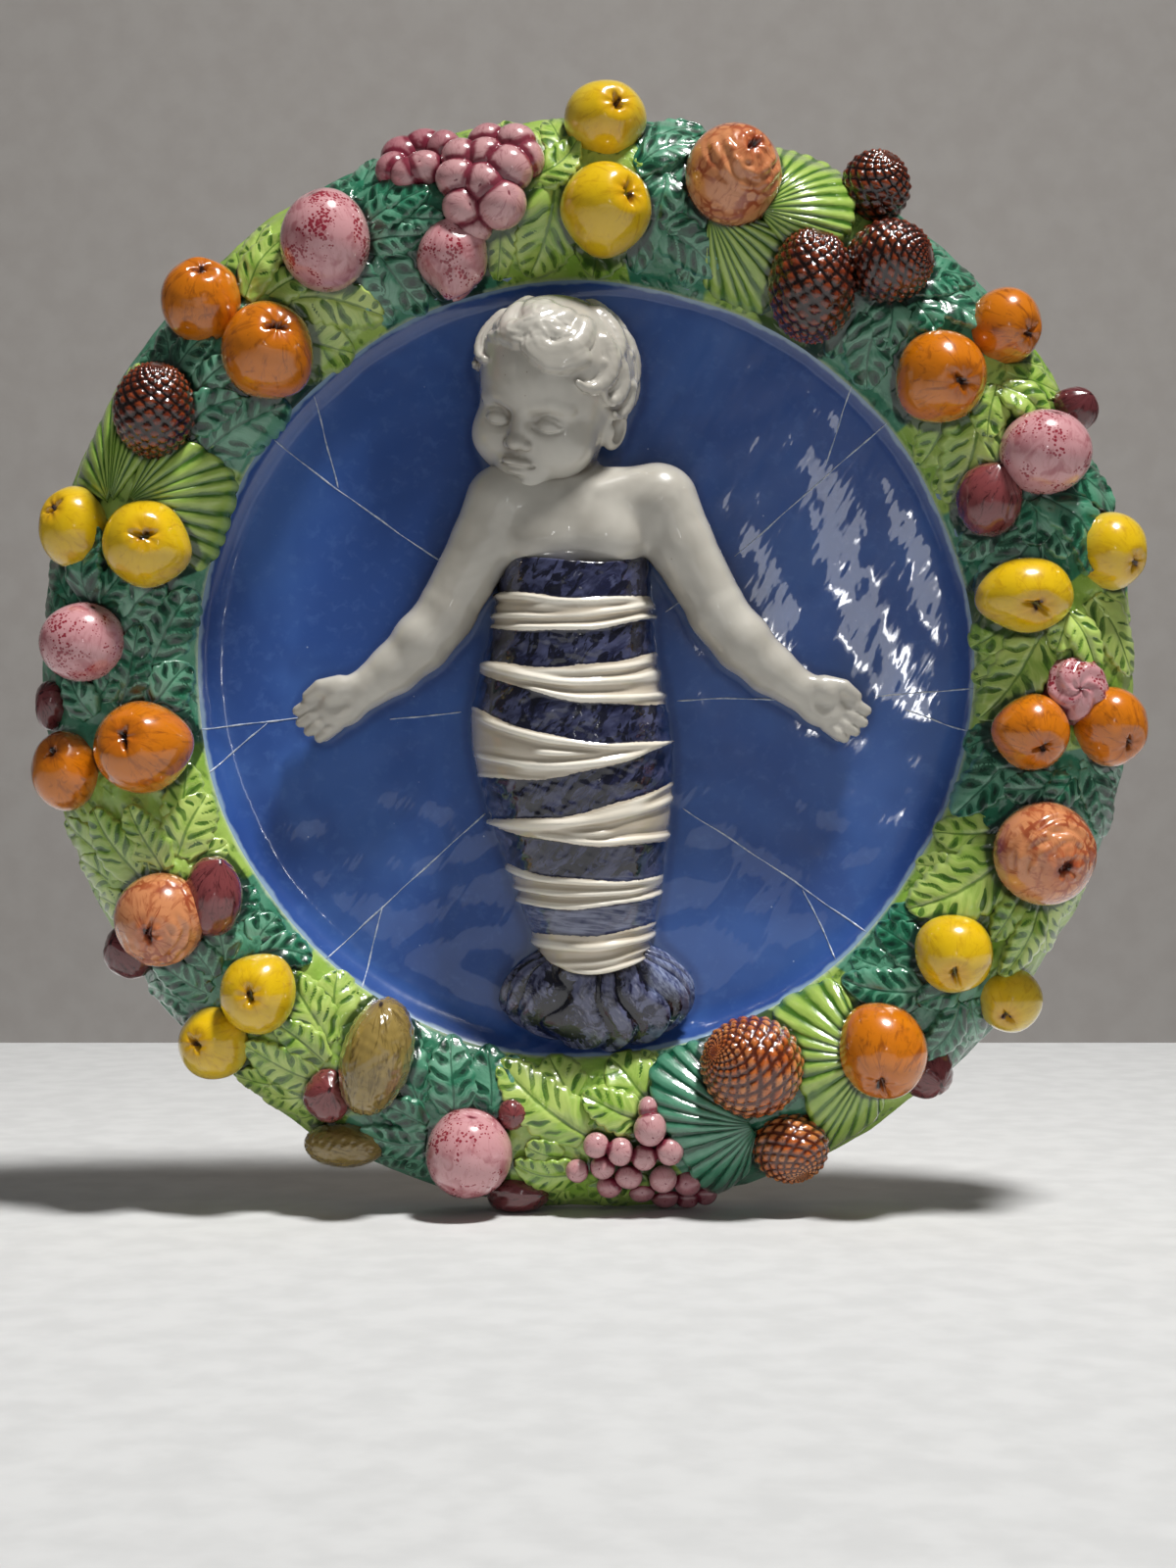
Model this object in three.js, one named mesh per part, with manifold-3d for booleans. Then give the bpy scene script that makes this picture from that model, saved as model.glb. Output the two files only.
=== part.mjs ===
// Round glazed wall plaque (tondo): a dished blue field with a swaddled infant in high relief, inside a
// garland of leaves, fruit, fir cones, nuts and grapes. It is one hollow-backed ceramic casting, so it is
// one solid. Millimetres. The front faces -Y and +Z is up. The origin lies on the flat face of the foot
// ring at the back, at the top of the ring, where the plaque hangs against the wall.
//
// Every item is laid out on the plaque's face by x (right) and z (up) from the plaque's own centre, or by
// clock angle (degrees clockwise from the top) and radius, and by its height above the wall plane.
import * as THREE from 'three';
import { mergeVertices } from 'three/addons/utils/BufferGeometryUtils.js';
import Module from 'manifold-3d';

// ---------------------------------------------------------------- driving dimensions
const FOOT_RING_RADIUS = 151;      // middle of the flat face that lies on the wall
const FOOT_RING_WIDTH = 12;
const FOOT_RING_HEIGHT = 4;
const WIRE_HOLE_DIAMETER = 2.4;    // two holes through the foot ring for a hanging wire
const WIRE_HOLE_ANGLE = 14;        // degrees either side of the top
const DISH_EDGE_RADIUS = 141.5;    // where the blue field meets the garland
const RIM_RADIUS = 201.5;          // ground of the garland, under the leaf tips
const BACK_RADIUS = 194;
const ROUND_STEPS = 40;

// Height of the ground above the wall, by radius: the dish, then the swelling ring of the garland.
const GROUND = [[0, 13], [85, 14], [120, 16], [DISH_EDGE_RADIUS, 19.5],
  [150, 28], [171, 35.5], [190, 29], [201.5, 14], [206, 9]];

// The infant: head, trunk, arms. x, z from the plaque's centre, and height above the wall.
const HEAD = { x: -12, z: 98, h: 33, rx: 26.5, rz: 32, rh: 27 };
const HEAD_TILT = 8;
const TRUNK = [ // z, centre x, half width, top height
  [66, -3, 22, 44], [56, -3, 31, 47], [34, -3.5, 28.5, 49], [8, -5, 31, 51], [-22, -5.5, 37, 52],
  [-55, -2.5, 34, 50], [-87, 0.5, 27, 46], [-108, 2, 21.5, 42], [-118, 2.5, 19, 38]];
const ARM = [ // x from the body axis, z, height of the arm's axis, half thickness
  [29, 55, 35, 12.5], [41, 37, 35, 11.5], [51.5, 16, 33, 10.5], [64, 4, 32, 9], [77, -7, 32, 7]];
const ARM_AXIS_X = -2;
const PALM = { x: 85, z: -13, h: 32, length: 11, width: 8.5, thick: 6.5, slope: 38 };
const FINGERS = { x: 94, z: -20, h: 32, length: 7.5, width: 7, thick: 4.5 };
const THUMB = { x: 87, z: -3.5, h: 35, length: 6.5, width: 3, thick: 3, slope: -52 };
const RUFFLE = { x: 4.5, z: -122, h: 22, rx: 35, rz: 19, rh: 16, flutes: 9 };

// Leaves: clock angle and radius of the base, then of the tip, and the full width.
const LEAVES = [
  [355, 181, 350.5, 203, 17], [356, 176, 351, 143, 26], [4, 170, 0, 142, 24],
  [6, 186, 12.5, 203, 15], [8, 160, 18.5, 147, 17],
  [38, 186, 39, 202, 18], [42, 184, 45.5, 202, 15], [40, 170, 44, 143.5, 24],
  [55, 184, 58.5, 201.5, 16], [57, 168, 64, 143, 26],
  [67, 188, 73.5, 202.5, 18], [70, 176, 80, 184, 20], [72, 168, 77, 143, 24],
  [82, 185, 90, 201, 20], [84.5, 174, 92, 183, 13], [85, 164, 96, 144, 24],
  [102, 186, 108, 201, 16], [101, 160, 111, 144, 20],
  [116, 188, 121.5, 200.5, 15], [118, 186, 127.5, 188, 15], [113.5, 168, 127, 147, 26],
  [132, 186, 137, 201, 16], [131, 168, 133, 143, 20], [134, 172, 141, 146, 18],
  [178, 188, 177, 201, 22], [172, 162, 178, 145, 22], [182, 168, 191, 147, 24],
  [198.5, 186, 203, 200, 16], [192, 168, 195, 145, 20], [199, 172, 204, 145, 24],
  [213, 188, 217.5, 201.5, 16], [214, 168, 220.5, 147, 26],
  [228.5, 190, 232, 203, 16], [230, 178, 236, 172, 18], [229, 160, 232, 147, 24],
  [245, 188, 250, 202, 24], [245, 164, 252, 147, 26],
  [276, 190, 281.5, 202, 14], [276.5, 181, 285, 184.5, 15], [264, 160, 269, 145, 20], [271, 160, 279, 146, 22],
  [304, 190, 307, 200, 15], [300, 156, 309, 146, 20],
  [318, 188, 322, 201, 18], [320, 166, 327, 145, 26],
  [331, 188, 336, 203, 22], [332, 178, 341.5, 180, 15], [330, 164, 332, 143, 24]];
const LEAF_EDGE = 1.4;    // height of a leaf's edge over the ground
const LEAF_RIB = 3.6;     // and of its midrib

// Ribbed husks: the pivot that the ribs spread from, the clock angle and radius of each rib's end, the swell.
const HUSKS = [
  { at: [20.5, 173], ends: [[19.5, 201], [25, 204.5], [30, 197], [31, 177]], swell: 9 },
  { at: [15.5, 167], ends: [[24, 171], [27.5, 146], [19, 142.5]], swell: 5 },
  { at: [144.5, 176], ends: [[147.5, 198], [154, 199.5], [153.5, 172], [152, 144], [143, 145]], swell: 6 },
  { at: [160, 178], ends: [[163, 197], [167, 203], [170.5, 180], [171.5, 155], [163, 144]], swell: 6 },
  { at: [288, 181], ends: [[289.5, 197], [295, 199.5], [303, 199.5], [299, 178]], swell: 6 },
  { at: [288.5, 174], ends: [[297, 173], [298.5, 152], [287, 142.5]], swell: 5 }];

// Fruit: kind, x, z, half width, half height, lift over its bed.
const FRUIT = [
  ['quince', 6.4, 197.2, 15, 14.7, 0], ['quince', 6.4, 162.4, 16.6, 16.6, 0],
  ['pomegranate', 52.2, 174.3, 17.6, 18.7, 0],
  ['cone', 105, 173, 12.6, 13.2, 0], ['cone', 108.6, 143.3, 15.5, 14.7, 0], ['cone', 80.9, 134.1, 15.4, 20.5, 1],
  ['orange', 152, 121.5, 13.4, 14.4, 0], ['orange', 127, 101.4, 16.6, 17, 0],
  ['nut', 178.5, 92.5, 9, 8.5, -3], ['speckled', 164.6, 74.5, 16.6, 15.6, 0], ['nut', 144.8, 57.6, 12.2, 13.6, 0],
  ['quince', 190.2, 39.6, 13.4, 14.3, 0], ['quince', 157.7, 23.2, 17.3, 13.6, 0],
  ['flower', 176.4, -11, 11, 11.5, -3],
  ['orange', 160, -26.3, 13.9, 14.2, 0], ['orange', 189.5, -24, 13.6, 14.6, 0],
  ['pomegranate', 164, -70, 18.4, 18.7, 0],
  ['quince', 131.5, -106, 14.2, 14.2, 0], ['quince', 154.4, -123.5, 12, 12, 0],
  ['orange', 105.6, -141.1, 16.4, 17.4, 0], ['nut', 124, -150, 10, 10.5, -3],
  ['cone', 59.4, -146.8, 18, 17.8, 0], ['cone', 73.4, -177, 13.4, 12.6, 0],
  ['speckled', -43.1, -178.5, 16, 16.4, 0], ['nut', -27.3, -164.6, 5.6, 5.8, -1], ['nut', -25.8, -195, 12, 8, -3],
  ['long', -76.2, -143.4, 12.8, 21.5, 0], ['nut', -93.6, -157.7, 9.4, 9.8, 0], ['nut', -88.5, -176.5, 15, 8.8, -2],
  ['quince', -118.4, -120.4, 13.6, 14.6, 0], ['quince', -135.8, -139, 13.4, 13.9, 0],
  ['pomegranate', -154, -93.6, 16.4, 16.8, 0], ['long', -135.1, -85.5, 10.4, 14.6, 0], ['nut', -168, -106, 10, 10.6, -2],
  ['orange', -160.4, -32, 17.6, 17, 0], ['orange', -190, -40, 12.8, 15, 0], ['nut', -197, -16, 6.5, 9.5, -2],
  ['speckled', -182.2, 6.2, 15.6, 14.4, 0],
  ['quince', -158.7, 41.4, 15.6, 15.6, 0], ['quince', -187, 48.4, 12.8, 15, 0],
  ['cone', -156.2, 89.6, 14.3, 17, 0],
  ['orange', -140, 130.2, 15, 15.6, 0], ['orange', -115.5, 111.4, 16.6, 17.7, 0],
  ['speckled', -94.4, 150.4, 16, 18.4, 0]];
const SEAT = 0.32;        // how far a fruit's middle stands over its bed, as a part of its radius

// Grapes and berries: x, z, half width, half height.
const GRAPES = [
  [-3.9, -184.8, 4.6, 4.6], [2.8, -175.1, 5, 5], [11.6, -177.3, 5, 5], [7, -186, 5, 5],
  [14.5, -187.1, 5, 5], [20.5, -179.5, 5, 5], [29.3, -177.3, 5, 5],
  [19.5, -194, 4.8, 4.8], [27.4, -188.2, 5, 5], [36.4, -190.5, 5, 5], [28.4, -196.8, 5.2, 4.8],
  [37, -198, 5, 4.8], [44, -196.5, 5, 4.8], [22, -167, 5.2, 8.5],
  [-35.1, 193, 6.4, 6.2], [-25.9, 188.5, 6, 6.4], [-47, 186, 5.6, 5.6], [-37.6, 184.5, 5.8, 5.8],
  [-47.3, 175.5, 5.8, 6.2], [-37, 173.5, 5.8, 6], [-27.5, 178.1, 6, 6.4], [-33.4, 166.2, 7, 7.4],
  [-46.5, 164.6, 6, 6], [-60.5, 193.5, 8, 7.2], [-70, 190.5, 6.2, 6.2], [-60, 183.5, 6, 6],
  [-53.6, 157, 6, 6], [-55.5, 149.8, 6, 6], [-42.8, 149.4, 7, 7], [-47, 140.5, 9, 7.6]];

// ---------------------------------------------------------------- helpers
const wasm = await Module();
wasm.setup();
const DEG = Math.PI / 180;

function groundHeight(x, z) {
  const r = Math.hypot(x, z);
  for (let i = 1; i < GROUND.length; i++) {
    const [r0, h0] = GROUND[i - 1], [r1, h1] = GROUND[i];
    if (r <= r1) return h0 + (h1 - h0) * (r - r0) / (r1 - r0);
  }
  return GROUND[GROUND.length - 1][1];
}
const bedHeight = (x, z) => { // where a fruit sits: never lower than the shoulder of the rim
  const r = Math.hypot(x, z), k = Math.min(1, 196.5 / r);
  return groundHeight(x * k, z * k);
};
const onFace = (clock, r) => [r * Math.sin(clock * DEG), r * Math.cos(clock * DEG)];
const point = (x, z, h) => new THREE.Vector3(x, -h, z - FOOT_RING_RADIUS);

function solid(geometry) {
  const g = geometry.index ? geometry.clone() : geometry;
  g.deleteAttribute('normal'); g.deleteAttribute('uv');
  const m = mergeVertices(g, 1e-3);
  const p = m.attributes.position.array, raw = m.index.array, tri = [];
  for (let i = 0; i < raw.length; i += 3)
    if (raw[i] !== raw[i + 1] && raw[i + 1] !== raw[i + 2] && raw[i] !== raw[i + 2]) tri.push(raw[i], raw[i + 1], raw[i + 2]);
  let volume = 0;
  const a = new THREE.Vector3(), b = new THREE.Vector3(), c = new THREE.Vector3();
  for (let i = 0; i < tri.length; i += 3) {
    a.fromArray(p, tri[i] * 3); b.fromArray(p, tri[i + 1] * 3); c.fromArray(p, tri[i + 2] * 3);
    volume += a.dot(b.cross(c));
  }
  if (volume < 0) for (let i = 0; i < tri.length; i += 3) [tri[i], tri[i + 1]] = [tri[i + 1], tri[i]];
  return new wasm.Manifold(new wasm.Mesh({ numProp: 3, vertProperties: new Float32Array(p), triVerts: new Uint32Array(tri) }));
}

// A ball whose pole faces the front; shape(n) may move each point of the unit sphere first.
function ball(x, z, h, rx, rz, rh, { spin = 0, around = 10, down = 6, shape = null } = {}) {
  const g = new THREE.SphereGeometry(1, around, down), p = g.attributes.position, v = new THREE.Vector3();
  const c = Math.cos(spin * DEG), s = Math.sin(spin * DEG);
  for (let i = 0; i < p.count; i++) {
    v.fromBufferAttribute(p, i);
    if (shape) shape(v);
    const lx = v.x * rx, lz = v.z * rz, q = point(x + lx * c - lz * s, z + lx * s + lz * c, h + v.y * rh);
    p.setXYZ(i, q.x, q.y, q.z);
  }
  return solid(g);
}

// A closed skin over rows of points, all rows of one length, with a fan over each end.
function skin(rows) {
  const n = rows[0].length, xyz = [], index = [];
  for (const row of rows) for (const q of row) xyz.push(q.x, q.y, q.z);
  for (const row of [rows[0], rows[rows.length - 1]]) {
    const m = row.reduce((sum, q) => sum.add(q), new THREE.Vector3()).divideScalar(n);
    xyz.push(m.x, m.y, m.z);
  }
  for (let k = 0; k + 1 < rows.length; k++)
    for (let i = 0; i < n; i++) {
      const a = k * n + i, b = k * n + (i + 1) % n, c = a + n, d = b + n;
      index.push(a, b, d, a, d, c);
    }
  const first = rows.length * n, last = first + 1, top = (rows.length - 1) * n;
  for (let i = 0; i < n; i++) index.push(first, (i + 1) % n, i, last, top + i, top + (i + 1) % n);
  const g = new THREE.BufferGeometry();
  g.setAttribute('position', new THREE.Float32BufferAttribute(xyz, 3));
  g.setIndex(index);
  return solid(g);
}

// A limb with round sections through a list of [x, z, h, radius], closed by half a turn at each end.
function limb(path, sides = 8) {
  const points = path.map(([x, z, h]) => point(x, z, h)), rows = [];
  points.forEach((p, i) => {
    const along = points[Math.min(i + 1, points.length - 1)].clone().sub(points[Math.max(i - 1, 0)]).normalize();
    const up = new THREE.Vector3(0, -1, 0), side = up.clone().cross(along).normalize(), lift = along.clone().cross(side);
    rows.push(Array.from({ length: sides }, (_, j) => {
      const t = 2 * Math.PI * j / sides;
      return p.clone().addScaledVector(side, path[i][3] * Math.cos(t)).addScaledVector(lift, path[i][3] * Math.sin(t));
    }));
  });
  return skin(rows);
}

function leaf([clockBase, rBase, clockTip, rTip, width]) {
  const [x0, z0] = onFace(clockBase, rBase), [x1, z1] = onFace(clockTip, rTip);
  const length = Math.hypot(x1 - x0, z1 - z0), dx = (x1 - x0) / length, dz = (z1 - z0) / length;
  const stations = [[0, 0.6], [0.5, 1], [1, 0.25]]; // part of the length, part of the width
  return skin(stations.map(([u, w]) => {
    const cx = x0 + (x1 - x0) * u, cz = z0 + (z1 - z0) * u, half = width / 2 * w;
    const at = (side, over) => {
      const x = cx + dz * half * side, z = cz - dx * half * side;
      return point(x, z, groundHeight(x, z) + over);
    };
    return [at(-1, -3), at(-1, LEAF_EDGE), at(0, u === 1 ? LEAF_EDGE : LEAF_RIB), at(1, LEAF_EDGE), at(1, -3)];
  }));
}

function husk({ at: [clock, r], ends, swell }) {
  const [px, pz] = onFace(clock, r), rows = [];
  for (const v of [0.12, 0.55, 1]) {
    const top = [], low = [];
    for (const [c, q] of ends) {
      const [ex, ez] = onFace(c, q), x = px + (ex - px) * v, z = pz + (ez - pz) * v;
      const over = 1.6 + swell * Math.sin(Math.PI * Math.min(1, 0.25 + v * 0.72));
      top.push(point(x, z, groundHeight(x, z) + over));
      low.unshift(point(x, z, groundHeight(x, z) - 3));
    }
    rows.push([...top, ...low]);
  }
  return skin(rows);
}

// ---------------------------------------------------------------- the ground: dish, ring, back and foot ring
const parts = [];
{
  const half = FOOT_RING_WIDTH / 2;
  const profile = [...GROUND.filter(([r]) => r <= RIM_RADIUS), [RIM_RADIUS - 0.5, 9.5], [BACK_RADIUS, FOOT_RING_HEIGHT],
    [FOOT_RING_RADIUS + half + 1, FOOT_RING_HEIGHT], [FOOT_RING_RADIUS + half, 0], [FOOT_RING_RADIUS - half, 0],
    [FOOT_RING_RADIUS - half - 1, FOOT_RING_HEIGHT], [0, FOOT_RING_HEIGHT]];
  // the profile is turned about the plaque's axis, which LatheGeometry has along Y
  const g = new THREE.LatheGeometry(profile.map(([r, h]) => new THREE.Vector2(r, -h)), ROUND_STEPS);
  g.translate(0, 0, -FOOT_RING_RADIUS);
  parts.push(solid(g));
}

// ---------------------------------------------------------------- garland
for (const row of LEAVES) parts.push(leaf(row));
for (const one of HUSKS) parts.push(husk(one));
for (const [kind, x, z, rx, rz, lift] of FRUIT) {
  const size = (rx + rz) / 2, h = bedHeight(x, z) + SEAT * size + lift;
  const cone = kind === 'cone' || kind === 'quince';
  parts.push(ball(x, z, h, rx, rz, size * (kind === 'nut' || kind === 'flower' ? 0.85 : 1), {
    around: size > 12 ? 7 : 6, down: size > 12 ? 4 : 3,
    spin: kind === 'long' ? (x < -100 ? -12 : 14) : 0,
    shape: cone ? (v) => { const f = 1 - 0.1 * Math.max(0, -v.z); v.x *= f; } : null,
  }));
  if (kind === 'pomegranate') parts.push(ball(x + 0.25 * rx, z - 0.15 * rz, h + size * 0.9, size * 0.42, size * 0.42, size * 0.22, { around: 8, down: 4 }));
}
for (const [x, z, rx, rz] of GRAPES) {
  const size = (rx + rz) / 2;
  const over = Math.max(0, Math.hypot(x, z) - 191); // those at the rim hang down over it
  parts.push(ball(x, z, bedHeight(x, z) + 1.5 + 0.6 * size - over, rx, rz, size, { around: 5, down: 3 }));
}
// clay worked in behind the fruit that overhangs the rim
for (const [clock, r, h, size] of [[166.4, 200.2, 11.2, 5.2], [153.5, 196.3, 12.2, 4.3]]) {
  const [x, z] = onFace(clock, r);
  parts.push(ball(x, z, h, size, size, 4.1, { around: 7, down: 4, spin: 20 }));
}

// ---------------------------------------------------------------- infant
{
  const low = 9, mid = 17, sides = 10;
  parts.push(skin(TRUNK.map(([z, x, half, top]) => Array.from({ length: sides }, (_, i) => {
    const t = 2 * Math.PI * i / sides, s = Math.sin(t);
    return point(x + half * Math.cos(t), z, mid + s * (s > 0 ? top - mid : mid - low));
  }))));
  const { x, z, h, rx, rz, rh } = HEAD, tilt = HEAD_TILT * DEG;
  parts.push(ball(x, z, h, rx, rz, rh, { spin: HEAD_TILT, around: 12, down: 7 }));
  parts.push(ball(x - 3, z - 20, h + 9, 14, 12, 13, { around: 8, down: 5 }));              // jaw and chin
  parts.push(ball(x - 2, z - 4, h + 24, 3.2, 6, 5.5, { around: 6, down: 4 }));             // nose
  parts.push(limb([[x + 6, z - 24, 28, 15], [-3, 58, 30, 17]]));                           // neck
  for (let i = 0; i < 6; i++) {                                                            // curls over the crown
    const t = (-70 + i * 32) * DEG - tilt;
    parts.push(ball(x + Math.sin(t) * rx * 0.84, z + Math.cos(t) * rz * 0.86, h + 9, 10.5, 10.5, 11, { around: 6, down: 3 }));
  }
  for (const side of [-1, 1]) {
    const at = (v) => ARM_AXIS_X + side * v;
    parts.push(ball(at(30), 54, 32, 14, 14, 14.5, { around: 8, down: 4 }));
    parts.push(limb(ARM.map(([ax, az, ah, r]) => [at(ax), az, ah, r])));
    parts.push(ball(at(PALM.x), PALM.z, PALM.h, PALM.length, PALM.width, PALM.thick, { spin: -side * PALM.slope, around: 8, down: 4 }));
    parts.push(ball(at(FINGERS.x), FINGERS.z, FINGERS.h, FINGERS.length, FINGERS.width, FINGERS.thick, { spin: -side * PALM.slope, around: 6, down: 3 }));
    parts.push(ball(at(THUMB.x), THUMB.z, THUMB.h, THUMB.length, THUMB.width, THUMB.thick, { spin: side * 35, around: 5, down: 3 }));
    // the arm, hand and sleeve stand on the dish, with clay carried down behind them
    parts.push(limb([[at(36), 46, 20, 11], [at(51.5), 16, 19, 9.5], [at(77), -7, 19, 7], [at(88), -16, 19, 6.5]], 6));
  }
  const f = RUFFLE;
  parts.push(ball(f.x, f.z, f.h, f.rx, f.rz, f.rh, { around: f.flutes * 2, down: 4, shape: (v) => {
    const a = Math.atan2(v.z, v.x), k = 1 + 0.05 * Math.cos(a * f.flutes) * Math.hypot(v.x, v.z);
    v.x *= k; v.z *= k;
  } }));
}

// ---------------------------------------------------------------- join, bore the wire holes, and export
let body = wasm.Manifold.union ? wasm.Manifold.union(parts) : parts.reduce((a, b) => a.add(b));
for (const side of [-1, 1]) {
  const hole = new THREE.CylinderGeometry(WIRE_HOLE_DIAMETER / 2, WIRE_HOLE_DIAMETER / 2, FOOT_RING_WIDTH + 8, 12);
  hole.rotateX(Math.PI / 2);            // along Z, then turned to run out along the ring's radius
  hole.rotateY(side * WIRE_HOLE_ANGLE * DEG);
  const [x, z] = onFace(side * WIRE_HOLE_ANGLE, FOOT_RING_RADIUS);
  hole.translate(x, -FOOT_RING_HEIGHT / 2 + 0.05, z - FOOT_RING_RADIUS);
  body = body.subtract(solid(hole));
}
const out = body.getMesh();
const geometry = new THREE.BufferGeometry();
geometry.setAttribute('position', new THREE.BufferAttribute(new Float32Array(out.vertProperties), 3));
geometry.setIndex(new THREE.BufferAttribute(new Uint32Array(out.triVerts), 1));
geometry.computeVertexNormals();

const glaze = new THREE.MeshStandardMaterial({ name: 'glaze', color: 0x3c5a9b, roughness: 0.12, metalness: 0 });
const plaque = new THREE.Mesh(geometry, glaze);
plaque.name = 'plaque';
const group = new THREE.Group();
group.add(plaque);
export default group;
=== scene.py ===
import math
import bpy
import numpy as np
from mathutils import Vector, Matrix

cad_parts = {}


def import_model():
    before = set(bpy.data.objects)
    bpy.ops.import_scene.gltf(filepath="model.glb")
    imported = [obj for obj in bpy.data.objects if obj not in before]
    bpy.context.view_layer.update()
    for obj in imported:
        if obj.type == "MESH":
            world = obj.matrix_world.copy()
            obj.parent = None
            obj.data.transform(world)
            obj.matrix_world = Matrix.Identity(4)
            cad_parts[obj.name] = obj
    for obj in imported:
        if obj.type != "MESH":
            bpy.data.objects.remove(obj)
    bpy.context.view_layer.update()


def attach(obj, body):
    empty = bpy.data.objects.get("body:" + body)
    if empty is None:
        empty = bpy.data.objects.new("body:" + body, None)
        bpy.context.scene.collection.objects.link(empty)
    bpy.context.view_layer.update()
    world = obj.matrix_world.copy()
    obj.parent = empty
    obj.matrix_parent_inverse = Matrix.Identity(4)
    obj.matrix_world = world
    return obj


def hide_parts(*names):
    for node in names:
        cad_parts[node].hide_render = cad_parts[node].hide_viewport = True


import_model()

RNG = np.random.default_rng(7)
TAU = 2 * math.pi
DEG = math.pi / 180
TOP = -151.0           # the plaque's centre below the origin, mm

# ------------------------------------------------------------------ small tools
# Points are (x, z, h) in mm on the plaque's face: right, up, and out from the wall.


def onface(clock, r):
    return np.array([r * math.sin(clock * DEG), r * math.cos(clock * DEG)])


BOX = ((-202.75, 202.95), (-201.9, 211.4), (0.0, 62.4))     # right, up and out, in mm


def world(P):
    P = np.array(P, float)
    for i, (lo, hi) in enumerate(BOX):       # eased in at the very edge of the plaque's overall size
        c = P[:, i]
        c = np.where(c > hi - 1.5, hi - 1.5 + 1.5 * np.tanh((c - hi + 1.5) / 1.5), c)
        P[:, i] = np.maximum(c, lo) if i == 2 else np.where(c < lo + 1.5, lo + 1.5 - 1.5 * np.tanh((lo + 1.5 - c) / 1.5), c)
    return np.stack([P[:, 0], -P[:, 2], P[:, 1] + TOP], 1) / 1000.0


def sm(x, a, b):
    t = np.clip((x - a) / (b - a), 0, 1)
    return t * t * (3 - 2 * t)


def lump(x, z, wave, seed, octaves=3):
    """Smooth repeatable noise, about -1 to 1, from crossed waves."""
    g = np.random.default_rng(seed)
    out = np.zeros(np.broadcast(x, z).shape)
    amp, tot = 1.0, 0.0
    for o in range(octaves):
        for _ in range(4):
            a, p = g.uniform(0, TAU), g.uniform(0, TAU)
            k = TAU / wave * (1.9 ** o) * g.uniform(0.75, 1.3)
            out += amp * np.sin(k * (x * math.cos(a) + z * math.sin(a)) + p)
        tot += amp * 2.0
        amp *= 0.55
    return out / tot


def srgb(r, g, b):
    def f(c):
        c /= 255.0
        return c / 12.92 if c <= 0.04045 else ((c + 0.055) / 1.055) ** 2.4
    return (f(r), f(g), f(b))


def grid_faces(nu, nv, wrap_u=False, wrap_v=False, off=0):
    iu = np.arange(nu if wrap_u else nu - 1)
    iv = np.arange(nv if wrap_v else nv - 1)
    A, B = np.meshgrid(iu, iv, indexing="ij")
    A2, B2 = (A + 1) % nu, (B + 1) % nv
    f = np.stack([A * nv + B, A2 * nv + B, A2 * nv + B2, A * nv + B2], -1).reshape(-1, 4)
    return f + off


class Soup:
    """Vertices, faces and point attributes gathered from several closed shells."""

    def __init__(self):
        self.v, self.q, self.t, self.a, self.n = [], [], [], {}, 0
        self.box = []

    def add(self, V, Q=None, T=None, **attrs):
        V = np.asarray(V, float)
        Q = np.zeros((0, 4), int) if Q is None else np.asarray(Q, int)
        T = np.zeros((0, 3), int) if T is None else np.asarray(T, int)
        W = world(V)
        tri = np.concatenate([Q[:, [0, 1, 2]], Q[:, [0, 2, 3]], T]) if len(Q) else T
        vol = np.einsum("ij,ij->i", W[tri[:, 0]], np.cross(W[tri[:, 1]], W[tri[:, 2]])).sum()
        if vol < 0:
            Q, T = Q[:, ::-1], T[:, ::-1]
        self.v.append(V)
        self.q.append(Q + self.n)
        self.t.append(T + self.n)
        for k, val in attrs.items():
            val = np.asarray(val, float)
            if val.ndim == 0 or (val.ndim == 1 and len(val) in (2, 3) and len(val) != len(V)):
                val = np.broadcast_to(val, (len(V),) + val.shape).copy()
            self.a.setdefault(k, []).append(val)
        self.n += len(V)

    def arrays(self):
        return np.concatenate(self.v), np.concatenate(self.q), np.concatenate(self.t)


PIECES = []


def build(name, soup, material, slot, extra=None):
    V, Q, T = soup.arrays()
    me = bpy.data.meshes.new(name)
    me.vertices.add(len(V))
    me.vertices.foreach_set("co", world(V).astype(np.float32).ravel())
    loops = np.concatenate([Q.ravel(), T.ravel()])
    me.loops.add(len(loops))
    me.loops.foreach_set("vertex_index", loops.astype(np.int32))
    me.polygons.add(len(Q) + len(T))
    start = np.concatenate([np.arange(len(Q)) * 4, len(Q) * 4 + np.arange(len(T)) * 3])
    me.polygons.foreach_set("loop_start", start.astype(np.int32))
    me.update(calc_edges=True)
    me.polygons.foreach_set("use_smooth", np.ones(len(Q) + len(T), bool))
    attrs = {k: np.concatenate(v) for k, v in soup.a.items()}
    attrs.update(extra or {})
    for k, val in attrs.items():
        if val.ndim == 1:
            me.attributes.new(k, "FLOAT", "POINT").data.foreach_set("value", val.astype(np.float32))
        else:
            me.attributes.new(k, "FLOAT_VECTOR", "POINT").data.foreach_set("vector", val.astype(np.float32).ravel())
    ob = bpy.data.objects.new(name, me)
    bpy.context.scene.collection.objects.link(ob)
    me.materials.append(material)
    PIECES.append((ob, V, slot))
    return ob


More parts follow.
